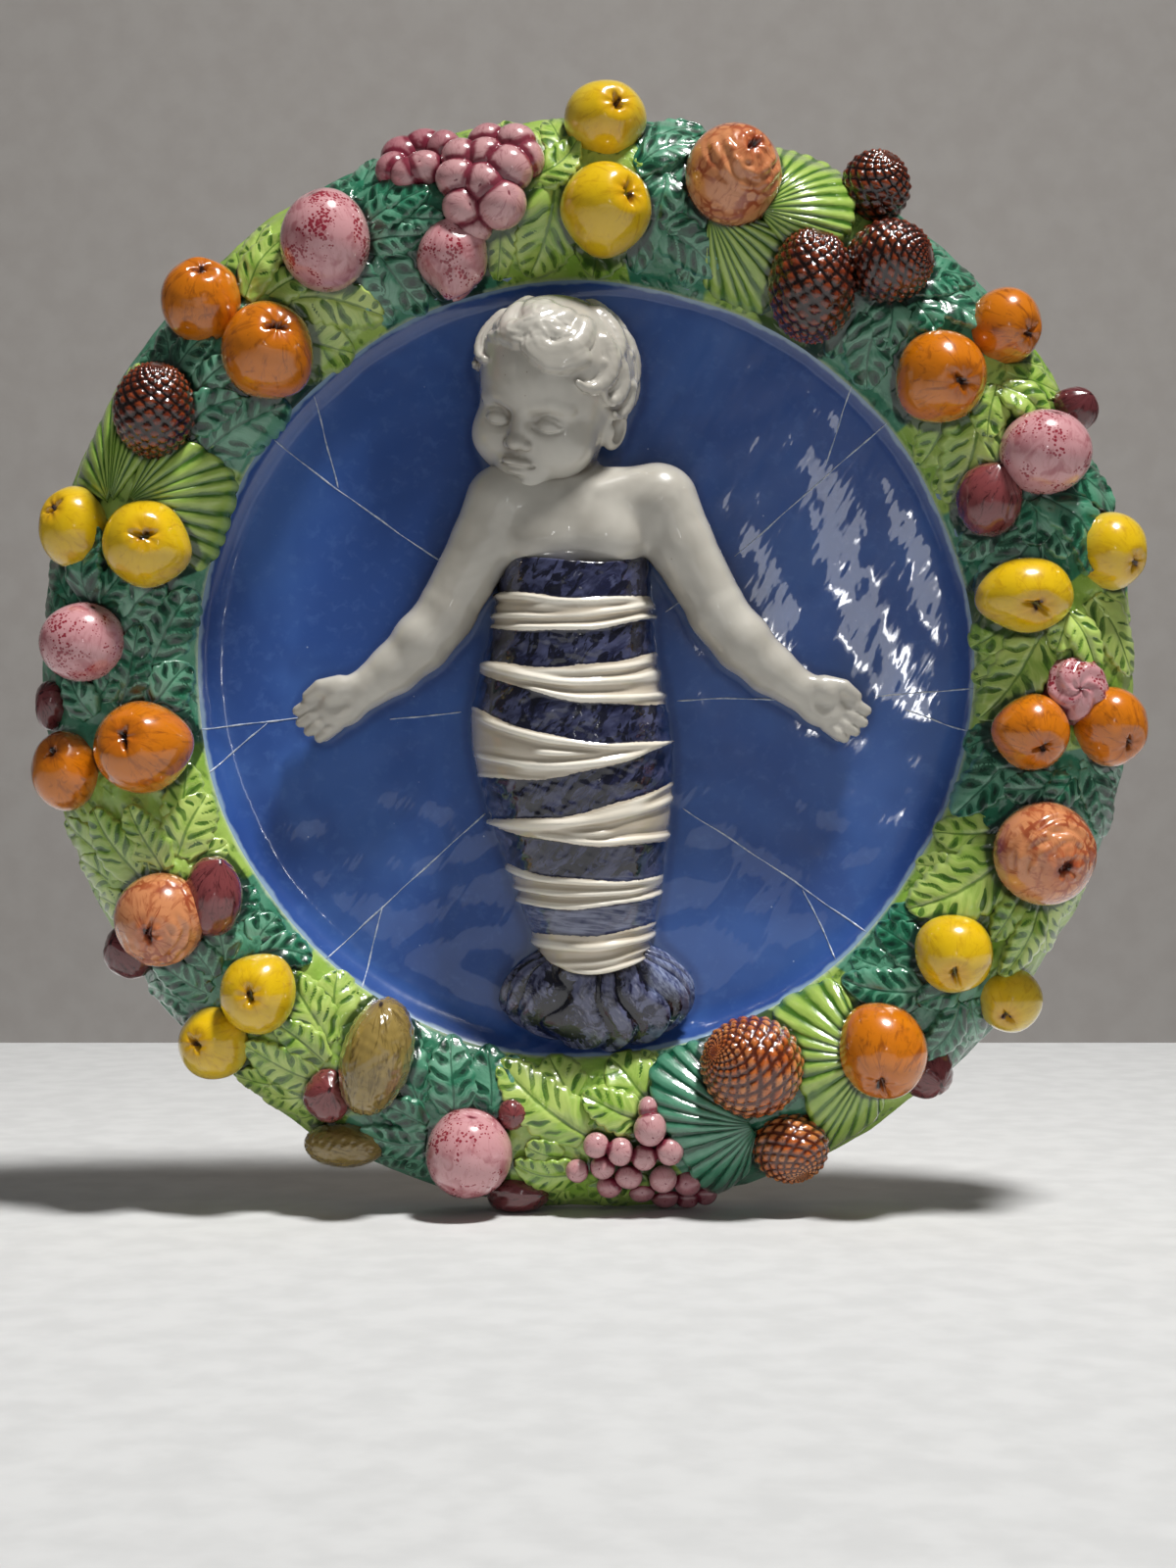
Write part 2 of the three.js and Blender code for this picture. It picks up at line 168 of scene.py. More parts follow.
# ------------------------------------------------------------------ the ground: dish and swelling ring
_pr = np.array([(r, 13.2 + 0.002 * r + 0.055 * r ** 3 / 3 / 130 ** 2) for r in range(0, 131, 10)] +
               [(136, 16.35), (139.5, 17.5), (142, 20.0), (143.5, 22.6), (147, 26), (152, 29.3), (158, 32.2), (165, 34.6), (171, 35.4), (178, 34.3), (186, 30.8), (192, 26.6),
                (197, 21.4), (200, 16.8), (202, 12.5), (206, 8)], float)
_rr = np.arange(0, 230, 0.25)
_hh = np.interp(_rr, _pr[:, 0], _pr[:, 1])
_k = np.exp(-0.5 * (np.arange(-12, 13) * 0.25 / 1.2) ** 2)
_hh = np.convolve(np.pad(_hh, 12, mode="edge"), _k / _k.sum(), mode="valid")


def G(r):
    return np.interp(r, _rr, _hh)


def bed(x, z):
    return float(G(min(math.hypot(x, z), 196.5)))


# garland colour groups by clock angle: yellow-green (1) or blue-green (0)
ZONES = [(-14, 5, 1), (5, 19, 0), (19, 33, 1), (33, 54, 0), (54, 66, 1), (66, 81, 0), (81, 99.5, 1), (99.5, 113, 0),
         (113, 128, 1), (128, 142, 0), (142, 154, 1), (154, 171, 0), (171, 190.5, 1), (190.5, 208, 0), (208, 223, 1),
         (223, 239, 0), (239, 258, 1), (258, 284, 0), (284, 299, 1), (299, 315, 0), (315, 329, 1), (329, 346, 0)]

# leaves: clock angle and radius of base and tip, width, lift, bend
YELLOW_GREEN = [
    (355, 181, 350.5, 203.2, 18, 2.0, .08), (358, 184, 355.5, 201.5, 14, 1.4, 0), (352.5, 174, 359, 190, 16, 3.4, -.1),
    (356, 176, 351, 142.5, 26, 2.4, .1), (4, 168, 0.5, 141, 24, 2.8, -.05), (350, 176, 346.5, 143, 15, 1.2, 0),
    (54.5, 186, 57, 201, 13, 1.6, 0), (56.5, 184, 60.3, 201, 14, 2.2, .05), (56.5, 179, 63.8, 186.5, 15, 8.5, .12),
    (56, 178, 61, 164, 16, 3, 0), (57, 170, 66.5, 144, 24, 3, .06), (56, 160, 59.5, 141, 17, 1.8, 0),
    (62, 156, 64, 141.5, 12, 1.4, 0),
    (82, 188, 86, 201, 14, 1.8, 0), (83, 184, 91.5, 201, 17, 2.6, .06), (84.5, 174, 92, 183.5, 13, 6.5, .1),
    (84.5, 176, 89, 168, 13, 3.4, 0), (86, 166, 98.5, 144, 21, 3.2, .05), (84, 158, 88, 141, 18, 2, 0),
    (90, 158, 93, 141.5, 14, 1.4, 0),
    (115, 188, 118, 200.5, 13, 1.6, 0), (117, 187, 122.5, 200.5, 14, 2.2, 0), (118, 186, 127.6, 188, 14, 6.5, .1),
    (117.5, 180, 125, 177, 13, 4.2, 0), (113.5, 170, 128, 147.5, 25, 3.6, .06), (113, 160, 116.5, 141.5, 16, 2, 0),
    (119, 158, 122, 141.5, 13, 1.4, 0),
    (175.5, 188, 174, 200.5, 12, 1.6, 0), (177.5, 190, 179, 200.5, 13, 2.2, 0), (182, 191, 184, 200, 12, 1.8, 0),
    (180.5, 187, 188.5, 184, 14, 4.2, .1), (183, 181, 187.5, 177.5, 12, 3.6, 0), (173, 168, 181, 158, 16, 3.6, 0),
    (172, 161, 177, 145, 20, 2.2, 0), (180, 172, 192.7, 149, 21, 3.4, .06), (182.5, 160, 185.5, 144.5, 18, 2.2, 0),
    (173, 152, 170.5, 145, 10, 1.2, 0),
    (210.5, 190, 212.5, 200, 11, 1.5, 0), (212.5, 188, 217, 201.3, 14, 2.2, 0), (215, 188, 220.5, 201.3, 13, 1.8, .05),
    (212.5, 181, 222, 187, 16, 4.4, .06), (213, 174, 221, 172, 14, 3.8, 0), (214, 168, 224, 156, 17, 3.2, 0),
    (214.5, 163, 219, 145, 19, 2.4, 0), (214, 155, 214.3, 146, 10, 1.4, 0),
    (241.5, 190, 244.5, 201, 13, 1.6, 0), (244, 189, 249, 202, 14, 2.2, 0), (247.5, 189, 253.5, 202, 13, 1.8, .05),
    (243.5, 180, 253.5, 187, 17, 4.2, .06), (243.5, 172, 252.5, 174, 16, 3.6, 0), (244.5, 165, 251, 147, 19, 3, 0),
    (246, 161, 256, 151, 15, 2.4, 0), (243, 156, 243.3, 147, 10, 1.4, 0),
    (317.5, 187, 319.5, 199.3, 12, 1.6, 0), (319, 189, 324, 200, 12, 2.2, .05), (316.5, 181, 325.4, 188, 16, 5.5, .1),
    (318, 176, 325, 171.5, 14, 3.6, 0), (320, 170, 329.7, 146, 19, 3.2, .05), (317.5, 158, 323, 142, 18, 2.2, 0),
    (316.5, 152, 315.3, 142.5, 11, 1.4, 0)]
BLUE_GREEN = [
    (6, 187, 12.5, 202.8, 15, 2.2, .1), (5.5, 179, 12.5, 193, 15, 3.6, .1), (9, 178, 9, 160, 18, 3, 0),
    (12, 172, 13, 152, 16, 2, .05), (8, 160, 18.7, 147, 16, 3.4, .1), (10, 170, 6.5, 143, 16, 1.6, -.1),
    (14, 160, 14.5, 142, 14, 1.2, 0),
    (36, 188, 36.8, 202.5, 11, 1.6, 0), (38.5, 187, 40.5, 202, 13, 1.8, 0), (41, 184, 45.5, 201.5, 14, 2.4, .1),
    (40, 178, 45, 192, 14, 3.4, .1), (44, 183, 50, 187, 13, 4.2, .1), (42.5, 176, 47, 172, 14, 3.4, 0),
    (40, 172, 44, 155, 16, 2.8, 0), (40, 166, 46, 143, 20, 2.4, -.1), (37.5, 160, 38.5, 142, 13, 1.6, 0),
    (66, 188, 70, 202, 12, 1.6, 0), (68, 188, 74.3, 202.5, 15, 2.4, .1), (70, 174, 80.5, 184, 19, 6.5, .22),
    (70.5, 172, 76, 166, 15, 3.2, 0), (73, 172, 78, 178, 13, 3.6, 0), (74, 168, 80.5, 144.5, 18, 2.8, .05),
    (71.5, 160, 74.5, 141.5, 15, 1.8, 0),
    (101, 184, 104.5, 201, 13, 1.8, 0), (102, 186, 109, 201, 15, 2.6, .06), (103, 182, 108.3, 173, 14, 4, 0),
    (105, 176, 107.5, 157, 15, 3.4, 0), (103, 164, 106, 150, 14, 2.4, 0), (101, 158, 113, 145, 17, 3.2, .05),
    (100, 154, 103, 141.5, 13, 1.6, 0),
    (131.5, 186, 134.5, 201, 12, 1.6, 0), (134, 187, 138.5, 200.5, 12, 2.2, 0), (132.5, 184, 140.7, 188, 14, 5, .1),
    (131, 178, 136.5, 172, 13, 3.6, 0), (131, 170, 132.5, 143, 17, 2.4, 0), (133.5, 172, 141.5, 148, 17, 3.4, .1),
    (128.5, 156, 129, 142.5, 12, 1.6, 0), (136, 158, 138, 144, 13, 1.6, 0),
    (197.5, 189, 199.5, 200.5, 11, 1.6, 0), (199.5, 189, 203, 200, 12, 2, 0), (198.5, 184, 206, 191, 14, 4.2, .1),
    (199, 178, 205, 177, 13, 3.6, 0), (192, 168, 194.5, 144.5, 17, 2.4, 0), (196.5, 172, 200, 145, 18, 3.2, 0),
    (201, 172, 207, 146, 15, 2.6, .05), (190.5, 160, 190.8, 146, 11, 1.6, 0),
    (227.8, 190, 229.5, 202.5, 11, 1.6, 0), (229, 190, 233.7, 203, 12, 2.2, 0), (228.5, 183, 236.3, 191, 15, 4.4, .08),
    (229.5, 178, 235.5, 176, 14, 3.8, 0), (230.5, 171, 236.5, 160, 14, 3.2, 0), (228, 160, 222.8, 147.5, 14, 3, .1),
    (229.5, 158, 231, 146.5, 15, 2, 0), (234, 160, 236, 147, 12, 1.8, 0),
    (263.5, 180, 268.8, 188.5, 15, 5.5, .1), (265.5, 178, 268.5, 170, 12, 3.4, 0), (269, 192, 273, 200.3, 11, 1.6, 0),
    (273, 191, 277.5, 200.8, 12, 1.8, 0), (276.5, 190, 281.5, 202.5, 13, 2, 0), (276.5, 181, 285.3, 184, 15, 6.5, .15),
    (276.5, 178, 281.5, 170, 14, 3.4, 0), (264, 170, 274.5, 162, 15, 4, 0), (264, 160, 269.5, 145, 17, 2.4, 0),
    (269.5, 159, 280.5, 146.5, 18, 3, 0), (275, 168, 281, 157, 15, 3.2, 0), (262.3, 156, 263.5, 146, 10, 1.6, 0),
    (303, 188, 305, 199.5, 12, 1.6, 0), (305.5, 187, 308.5, 199, 12, 2, 0), (304.5, 183, 311, 179, 15, 4, .1),
    (303.5, 173, 311, 167, 13, 3.6, 0), (299.5, 168, 307.3, 157.5, 16, 4.4, .06), (298.5, 158, 311, 145, 19, 3, .03),
    (303, 154, 303.5, 142, 14, 1.6, 0),
    (330.5, 188, 333, 200.3, 12, 1.6, 0), (333, 189, 337.5, 202.5, 13, 2, 0), (333, 181, 341, 188, 13, 3.6, 0),
    (332, 177, 341.5, 180, 14, 4.2, 0), (331.5, 171, 339, 165, 13, 3.4, 0), (328, 168, 330.2, 143, 15, 2.2, 0),
    (332.5, 165, 335, 141, 17, 3, 0), (336.5, 175, 342, 166, 12, 3.6, 0), (338, 158, 338.5, 142, 10, 1.4, 0)]

# ribbed husks: pivot, ends of the rays (clock, radius), swell, number of ribs
HUSKS = [
    (1, (20.5, 173), [(19.3, 198), (19.5, 203), (23, 205), (27, 204.5), (29.5, 199), (31, 190), (31.8, 181), (30, 171), (26, 163)], 9.5, 15),
    (1, (15.0, 168), [(22, 172), (26, 164), (27.8, 152), (27.5, 143), (23, 141.5), (19, 141.5), (16.5, 145)], 4.5, 11),
    (1, (144.5, 176), [(145.8, 195), (149, 200.5), (155.5, 201), (155, 190), (154, 177), (154, 163), (153.5, 151), (151.5, 143.5), (146, 143.5), (142.5, 146), (142, 155)], 6, 17),
    (0, (160, 179), [(162.3, 197), (166.5, 203.5), (168.5, 195), (169.5, 184), (171, 172), (172, 159), (171.5, 149), (167.5, 144.5), (163, 144)], 6.5, 14),
    (1, (288, 182), [(289, 196), (290, 200.5), (296, 200.8), (303.5, 200.5), (302, 190), (298, 181), (295, 174)], 6, 12),
    (1, (288.5, 176), [(295, 178), (298.5, 168), (299, 156), (297.5, 144.5), (292, 141), (285.5, 141.5), (282.5, 146)], 5, 12)]

# fruit: kind, x, z, half width, half height, lift, where its eye sits (parts of the radius right and up)
FRUIT = [
    ("quince", 6.4, 197.2, 15, 14.7, 0, .29, .27), ("quince", 6.4, 162.4, 16.6, 16.6, 0, .53, .19),
    ("pomegranate", 52.2, 174.3, 17.6, 18.7, 0, .38, .42),
    ("cone", 105, 173, 12.6, 13.2, 0, .35, .69), ("cone", 108.6, 143.3, 15.5, 14.7, 0, .9, .1),
    ("cone", 80.9, 134.1, 15.4, 20.5, 1, .14, .9),
    ("orange", 152, 121.5, 13.4, 14.4, 0, .6, -.28), ("orange", 127, 101.4, 16.6, 17, 0, .36, -.23),
    ("nut", 178.5, 92.5, 9, 8.5, -3, .5, .5), ("speckled", 164.6, 74.5, 16.6, 15.6, 0, .2, .9),
    ("nut", 144.8, 57.6, 12.2, 13.6, 0, .3, .8),
    ("quince", 190.2, 39.6, 13.4, 14.3, 0, .6, -.35), ("quince", 157.7, 23.2, 17.3, 13.6, 0, .14, -.37),
    ("flower", 176.4, -11, 11, 11.5, -3, 0, 0),
    ("orange", 160, -26.3, 13.9, 14.2, 0, .18, -.45), ("orange", 189.5, -24, 13.6, 14.6, 0, .37, -.46),
    ("pomegranate", 164, -70, 18.4, 18.7, 0, .23, -.26),
    ("quince", 131.5, -106, 14.2, 14.2, 0, -.1, -.53), ("quince", 154.4, -123.5, 12, 12, 0, -.27, -.52),
    ("orange", 105.6, -141.1, 16.4, 17.4, 0, -.11, -.67), ("nut", 124, -150, 10, 10.5, -3, .4, -.4),
    ("painted_cone", 59.4, -146.8, 18, 17.8, 0, -.8, .35), ("painted_cone", 73.4, -177, 13.4, 12.6, 0, .3, -.75),
    ("speckled", -43.1, -178.5, 16, 16.4, 0, .1, .9), ("nut", -27.3, -164.6, 5.6, 5.8, -1, .1, 0),
    ("nut", -25.8, -195, 12, 8, -3, .7, 0),
    ("long", -76.2, -143.4, 12.8, 21.5, 0, -.2, .9), ("nut", -93.6, -157.7, 9.4, 9.8, 0, .1, .3),
    ("long", -88.5, -176.5, 15, 8.8, -2, .9, -.3),
    ("quince", -118.4, -120.4, 13.6, 14.6, 0, -.13, .02), ("quince", -135.8, -139, 13.4, 13.9, 0, -.43, .05),
    ("pomegranate", -154, -93.6, 16.4, 16.8, 0, -.11, -.3), ("nut", -135.1, -85.5, 10.6, 14.8, 0, .3, .8),
    ("nut", -168, -106, 10, 10.6, -2, -.5, .3),
    ("orange", -160.4, -32, 17.6, 17, 0, -.24, .23), ("orange", -190, -40, 12.8, 15, 0, -.26, .5),
    ("nut", -197, -16, 6.5, 9.5, -2, -.3, .4), ("speckled", -182.2, 6.2, 15.6, 14.4, 0, .3, .9),
    ("quince", -158.7, 41.4, 15.6, 15.6, 0, .11, .12), ("quince", -187, 48.4, 12.8, 15, 0, -.49, .43),
    ("cone", -156.2, 89.6, 14.3, 17, 0, .15, .93),
    ("orange", -140, 130.2, 15, 15.6, 0, .1, .68), ("orange", -115.5, 111.4, 16.6, 17.7, 0, .36, .38),
    ("speckled", -94.4, 150.4, 16, 18.4, 0, -.3, .85), ("bulb", -48.5, 147, 12.5, 15.5, -2, .1, .95)]

GRAPES = [
    (-3.9, -184.8, 4.2, 4.2), (2.8, -175.1, 4.6, 4.6), (11.6, -177.3, 4.6, 4.8), (5.3, -183.7, 4.4, 4.4),
    (14.5, -187.1, 5, 4.4), (20.5, -179.5, 4.8, 4.8), (29.3, -177.3, 5, 5), (7.8, -191.5, 4.6, 4.2),
    (19.5, -194, 4.8, 4.4), (27.4, -188.2, 5, 5), (36.4, -190.5, 5, 5), (28.4, -196.8, 5.2, 4.6),
    (36.5, -197.6, 4.8, 4.4), (43.5, -196.3, 4.4, 4.4), (22.2, -169, 5.8, 6.2), (21.5, -162.4, 3.6, 5),
    (-36.2, 188, 7.4, 7), (-26.4, 186, 8.2, 8), (-45, 180.5, 8, 7.2), (-36.5, 180, 8.2, 7.8), (-46.4, 172.6, 8.6, 7.6),
    (-36.8, 170.4, 8.6, 8.2), (-28, 176.5, 8.6, 8.6), (-31.8, 163.5, 9, 9.6), (-44.4, 163, 7.6, 7.4), (-22.6, 180.5, 6.4, 7),
    (-41.2, 156.5, 7, 6), (-59.5, 187.5, 9, 8.6), (-68.2, 184.6, 8.6, 8.2), (-70.6, 178.8, 6.6, 6.6), (-59.8, 178, 7.4, 6.6),
    (-52.6, 186, 6.8, 7), (-65.6, 176.6, 6.6, 6)]


# ------------------------------------------------------------------ leaves and husks
def margin_and_base(nu, nv):
    """Indices of a grid's border, in order round it."""
    i = np.arange(nu * nv).reshape(nu, nv)
    return np.concatenate([i[0, :-1], i[:-1, -1], i[-1, :0:-1], i[:0:-1, 0]])


def close_patch(V, nu, nv, drop):
    """A grid patch, walled down to `drop` under the ground and closed below."""
    ring = margin_and_base(nu, nv)
    low = V[ring].copy()
    low[:, 2] = drop[ring]
    n, m = len(V), len(ring)
    k = np.arange(m)
    walls = np.stack([ring, ring[(k + 1) % m], n + (k + 1) % m, n + k], 1)
    mid = np.array([[low[:, 0].mean(), low[:, 1].mean(), low[:, 2].min() - 0.4]])
    fan = np.stack([n + k, n + (k + 1) % m, np.full(m, n + m)], 1)
    return np.concatenate([V, low, mid]), np.concatenate([grid_faces(nu, nv), walls]), fan, ring


def ground_under(x, z):
    return G(np.minimum(np.hypot(x, z), 203.5))


def leaf(soup, row, seed, wet):
    """One leaf. wet: 0 for a pale leaf with narrow painted grooves, 1 for a dark one with broad pooled ones."""
    c0, r0, c1, r1, width, lift, bend = row
    g = np.random.default_rng(seed)
    B, T = onface(c0, r0), onface(c1, r1)
    L = float(np.hypot(*(T - B)))
    d = (T - B) / L
    n = np.array([-d[1], d[0]])
    width = width * 1.1
    step = 0.8
    nu, nv = max(16, int(L / step)), max(12, int(width / step))
    s, a = np.meshgrid(np.linspace(0, 1, nu), np.linspace(-1, 1, nv), indexing="ij")
    pitch = g.uniform(4.4, 5.8) * (0.75 + 0.25 * min(1.5, width / 18))
    u = s * L
    body = (0.55 + 0.45 * sm(s, 0, 0.3)) * np.clip(1 - np.clip((s - 0.3) / 0.7, 0, 1) ** 2.3, 0, 1) ** 0.62
    body = np.maximum(body, 0.05)
    half = width / 2 * body
    off, slant = g.uniform(0, 1, 2), g.uniform(0.55, 0.85)
    side = (a > 0).astype(int)
    ph = (u - slant * half - 0.012 * half ** 2) / pitch + off[side]
    tooth = np.abs(np.sin(math.pi * ph)) ** 0.8
    half = half * (1 - 0.15 * (1 - tooth) * sm(s, 0.05, 0.25) * (1 - sm(s, 0.93, 1.0)))
    v = a * half
    sway = bend * L * np.sin(math.pi * s) + 0.5 * np.sin(s * 5 + seed)
    x = B[0] + d[0] * u + n[0] * (v + sway)
    z = B[1] + d[1] * u + n[1] * (v + sway)
    gr = ground_under(x, z)
    aa = np.abs(a)
    av = np.abs(v)
    phase = (u - slant * av - 0.012 * av ** 2) / pitch + off[side] + 0.10 * lump(x, z, 7, seed + 3, 1)
    # a groove between each pair of side veins: an oval of its own size, some left out
    tab = g.uniform(0, 1, (4, 2, 64))
    i = np.floor(phase).astype(int) % 64
    f = phase - np.floor(phase) - 0.5
    q = [tab[j][side, i] for j in range(4)]
    wide = (0.20 + 0.15 * q[0]) + wet * 0.11
    size = (0.55 + 0.6 * q[1]) * np.where(q[1] < 0.10, 0.01, 1) + 0.12 * wet
    mid = 0.50 + 0.12 * (q[2] - 0.5)
    long_ = 0.40 + 0.08 * q[3]
    cut = 1 - np.sqrt((f / wide) ** 2 + ((aa - mid) / long_) ** 2) / np.maximum(size, 0.01)
    cut = np.clip(cut, -1, 1)
    arch = 0.3 + 0.7 * sm(s, 0, 0.45) + 0.12 * sm(s, 0.75, 1)
    swell = lift * arch * (0.80 + 0.20 * np.sin(math.pi * np.clip(aa * 0.95, 0, 1)))
    ribs = -g.uniform(0.5, 0.85) * sm(cut, -0.25, 0.5) + 0.16 * np.cos(TAU * phase + math.pi) * sm(aa, 0.05, 0.3)
    ribs = ribs - 0.6 * np.exp(-(v / 0.8) ** 2) * (1 - 0.4 * s)
    wave = 0.40 * lump(x, z, 16, seed, 2) + g.uniform(0, 0.7)
    e = np.clip(np.maximum((aa - 0.80) / 0.20, (s - 0.955) / 0.045), 0, 1)
    edge = 1 - np.sqrt(np.clip(1 - e ** 2, 0, 1))
    h = gr + swell + ribs + wave - (lift * arch * 0.95 + 0.5) * edge
    V = np.stack([x, z, h], -1).reshape(-1, 3)
    drop = (gr - 2.2).reshape(-1)
    V, Q, F, ring = close_patch(V, nu, nv, drop)
    rnd = g.uniform(0, 1)

    def ext(arr):
        arr = arr.reshape(-1)
        return np.concatenate([arr, arr[ring], [arr[0]]])
    soup.add(V, Q, F, vein=np.stack([ext(phase), ext(a), np.full(len(V), rnd)], 1), along=ext(s), cut=ext(cut),
             rim=ext(np.clip(np.maximum((aa - 0.7) / 0.3, (s - 0.93) / 0.07), 0, 1)))


def husk(soup, row, seed):
    tone, (pc, pr), ends, swell, ribs = row
    g = np.random.default_rng(seed)
    P0 = onface(pc, pr)
    E = np.array([onface(c, r) for c, r in ends])
    seg = np.r_[0, np.cumsum(np.hypot(*np.diff(E, axis=0).T))]
    nv = int(max(ribs * 6, seg[-1] / 0.8))
    t = np.linspace(0, 1, nv)
    ang = np.interp(t * seg[-1], seg, np.arange(len(E)))
    i0 = np.clip(ang.astype(int), 0, len(E) - 2)
    f = ang - i0
    # a smooth curve through the ray ends
    Ep = np.vstack([2 * E[0] - E[1], E, 2 * E[-1] - E[-2]])
    p0, p1, p2, p3 = Ep[i0], Ep[i0 + 1], Ep[i0 + 2], Ep[i0 + 3]
    f = f[:, None]
    end = 0.5 * (2 * p1 + (p2 - p0) * f + (2 * p0 - 5 * p1 + 4 * p2 - p3) * f ** 2 + (3 * p1 - p0 - 3 * p2 + p3) * f ** 3)
    ribph = t * ribs + 0.12 * np.sin(t * 21 + seed)
    end = P0 + (end - P0) * (1 - 0.018 * (1 - np.abs(np.sin(math.pi * ribph))))[:, None]
    L = float(np.hypot(*(end - P0).T).mean())
    nu = int(L / 1.1)
    s = np.linspace(0.08, 1, nu)
    S, A = np.meshgrid(s, t, indexing="ij")
    x = P0[0] + (end[:, 0] - P0[0]) * S
    z = P0[1] + (end[:, 1] - P0[1]) * S
    bow = 1.4 * np.sin(S * 3.0) * np.sin(A * TAU)
    x, z = x + bow * 0.4, z + bow * 0.4
    gr = ground_under(x, z)
    dome = np.clip(np.sin(math.pi * np.clip(A * 0.94 + 0.03, 0, 1)), 0, 1) ** 0.55 * (0.45 + 0.55 * np.sin(math.pi * np.clip(S * 0.8 + 0.05, 0, 1)))
    PH = np.broadcast_to(ribph, S.shape)
    rib = np.abs(np.sin(math.pi * PH)) ** 0.75 - 0.55
    fine = 0.35 * np.sin(TAU * 2 * PH + 1.5 * np.sin(S * 9))
    amp = 0.95 * sm(S, 0.1, 0.45)
    e = np.clip(np.maximum(np.abs(A - 0.5) * 2 - 0.955, 0) / 0.045 + np.clip((S - 0.955) / 0.045, 0, 1), 0, 1)
    edge = 1 - np.sqrt(np.clip(1 - e ** 2, 0, 1))
    h = gr + swell * dome * (1 - edge) + amp * rib + 0.12 * fine * amp + 0.6 - 1.3 * edge
    V = np.stack([x, z, h], -1).reshape(-1, 3)
    V, Q, F, ring = close_patch(V, nu, nv, (gr - 2.2).reshape(-1))

    def ext(arr):
        arr = arr.reshape(-1)
        return np.concatenate([arr, arr[ring], [arr[0]]])
    soup.add(V, Q, F, vein=np.stack([ext(PH), np.full(len(V), 5.0), np.full(len(V), g.uniform())], 1), along=ext(S), rim=ext(e))


# ------------------------------------------------------------------ round things
def frame_for(ox, oz):
    m = math.hypot(ox, oz)
    if m > 0.97:
        ox, oz = ox / m * 0.97, oz / m * 0.97
    d = np.array([ox, oz, math.sqrt(1 - ox * ox - oz * oz)])
    up = np.array([0.0, 1.0, 0.0]) if abs(d[1]) < 0.9 else np.array([1.0, 0, 0])
    e1 = np.cross(up, d)
    e1 /= np.linalg.norm(e1)
    return e1, np.cross(d, e1), d


def shell(soup, C, radii, pole, nphi, nth, shape, seed, spin=0.0, after=None, cell=None):
    """A closed ball round C. shape(theta, phi, rng) gives the radius, as a part of `radii`, from the pole down."""
    g = np.random.default_rng(seed)
    e1, e2, d = frame_for(*pole)
    th = (np.arange(nth) + 0.5) / nth
    th = math.pi * (0.35 * th ** 1.6 + 0.65 * th)
    ph = TAU * np.arange(nphi) / nphi + spin
    TH, PHI = np.meshgrid(th, ph, indexing="ij")
    rho = shape(TH, PHI, g)
    top = np.array([[0.0]])
    r0, r1 = rho[0].mean(), rho[-1].mean()
    if shape(np.array([[1e-4]]), np.array([[0.0]]), np.random.default_rng(seed)).size:
        r0 = float(shape(np.array([[1e-4]]), np.array([[0.0]]), np.random.default_rng(seed))[0, 0])
        r1 = float(shape(np.array([[math.pi - 1e-4]]), np.array([[0.0]]), np.random.default_rng(seed))[0, 0])
    N = (np.sin(TH) * np.cos(PHI))[..., None] * e1 + (np.sin(TH) * np.sin(PHI))[..., None] * e2 + np.cos(TH)[..., None] * d
    P = (N * rho[..., None]).reshape(-1, 3)
    P = np.concatenate([P, [d * r0], [-d * r1]])
    P = P * np.asarray(radii, float)
    if after is not None:
        P = after(P)
    V = P + np.asarray(C, float)
    Q = grid_faces(nth, nphi, wrap_v=True)
    k = np.arange(nphi)
    n = nth * nphi
    T = np.concatenate([np.stack([np.full(nphi, n), k, (k + 1) % nphi], 1),
                        np.stack([np.full(nphi, n + 1), (nth - 1) * nphi + (k + 1) % nphi, (nth - 1) * nphi + k], 1)])
    tha = np.concatenate([TH.ravel(), [0, math.pi]])
    # the way round is kept as a unit vector, which has no seam
    cx = np.concatenate([np.cos(PHI).ravel(), [1, 1]])
    sx = np.concatenate([np.sin(PHI).ravel(), [0, 0]])
    cells = np.zeros(len(V)) if cell is None else np.concatenate([cell(TH, PHI).ravel(), [0, 0]])
    soup.add(V, Q, T, pole=np.stack([tha, cx, sx], 1), rnd=g.uniform(0, 1), cell=cells)


def roundish(seed, amount=0.012):
    g = np.random.default_rng(seed + 1000)
    k = g.uniform(-1, 1, (6, 3)) * 2.2
    p = g.uniform(0, TAU, 6)

    def f(TH, PHI):
        n = np.stack([np.sin(TH) * np.cos(PHI), np.sin(TH) * np.sin(PHI), np.cos(TH)], -1)
        return 1 + amount * sum(np.sin(n @ k[i] + p[i]) for i in range(6)) / 2.0
    return f


def eye_hole(TH, PHI, turn, wide=0.12, deep=0.2, dimple=0.08):
    t = TH * (1 + 0.5 * np.cos(2 * (PHI - turn)) + 0.16 * np.cos(5 * PHI + turn) + 0.1 * np.cos(3 * PHI))
    hole = 1 - sm(t, wide * 0.55, wide * 1.25)
    return -dimple * np.exp(-(TH / 0.34) ** 2) + 0.022 * np.exp(-((TH - 0.46) / 0.16) ** 2) - deep * hole \
        + 0.012 * np.cos(7 * PHI + turn) * np.exp(-((TH - 0.25) / 0.14) ** 2)


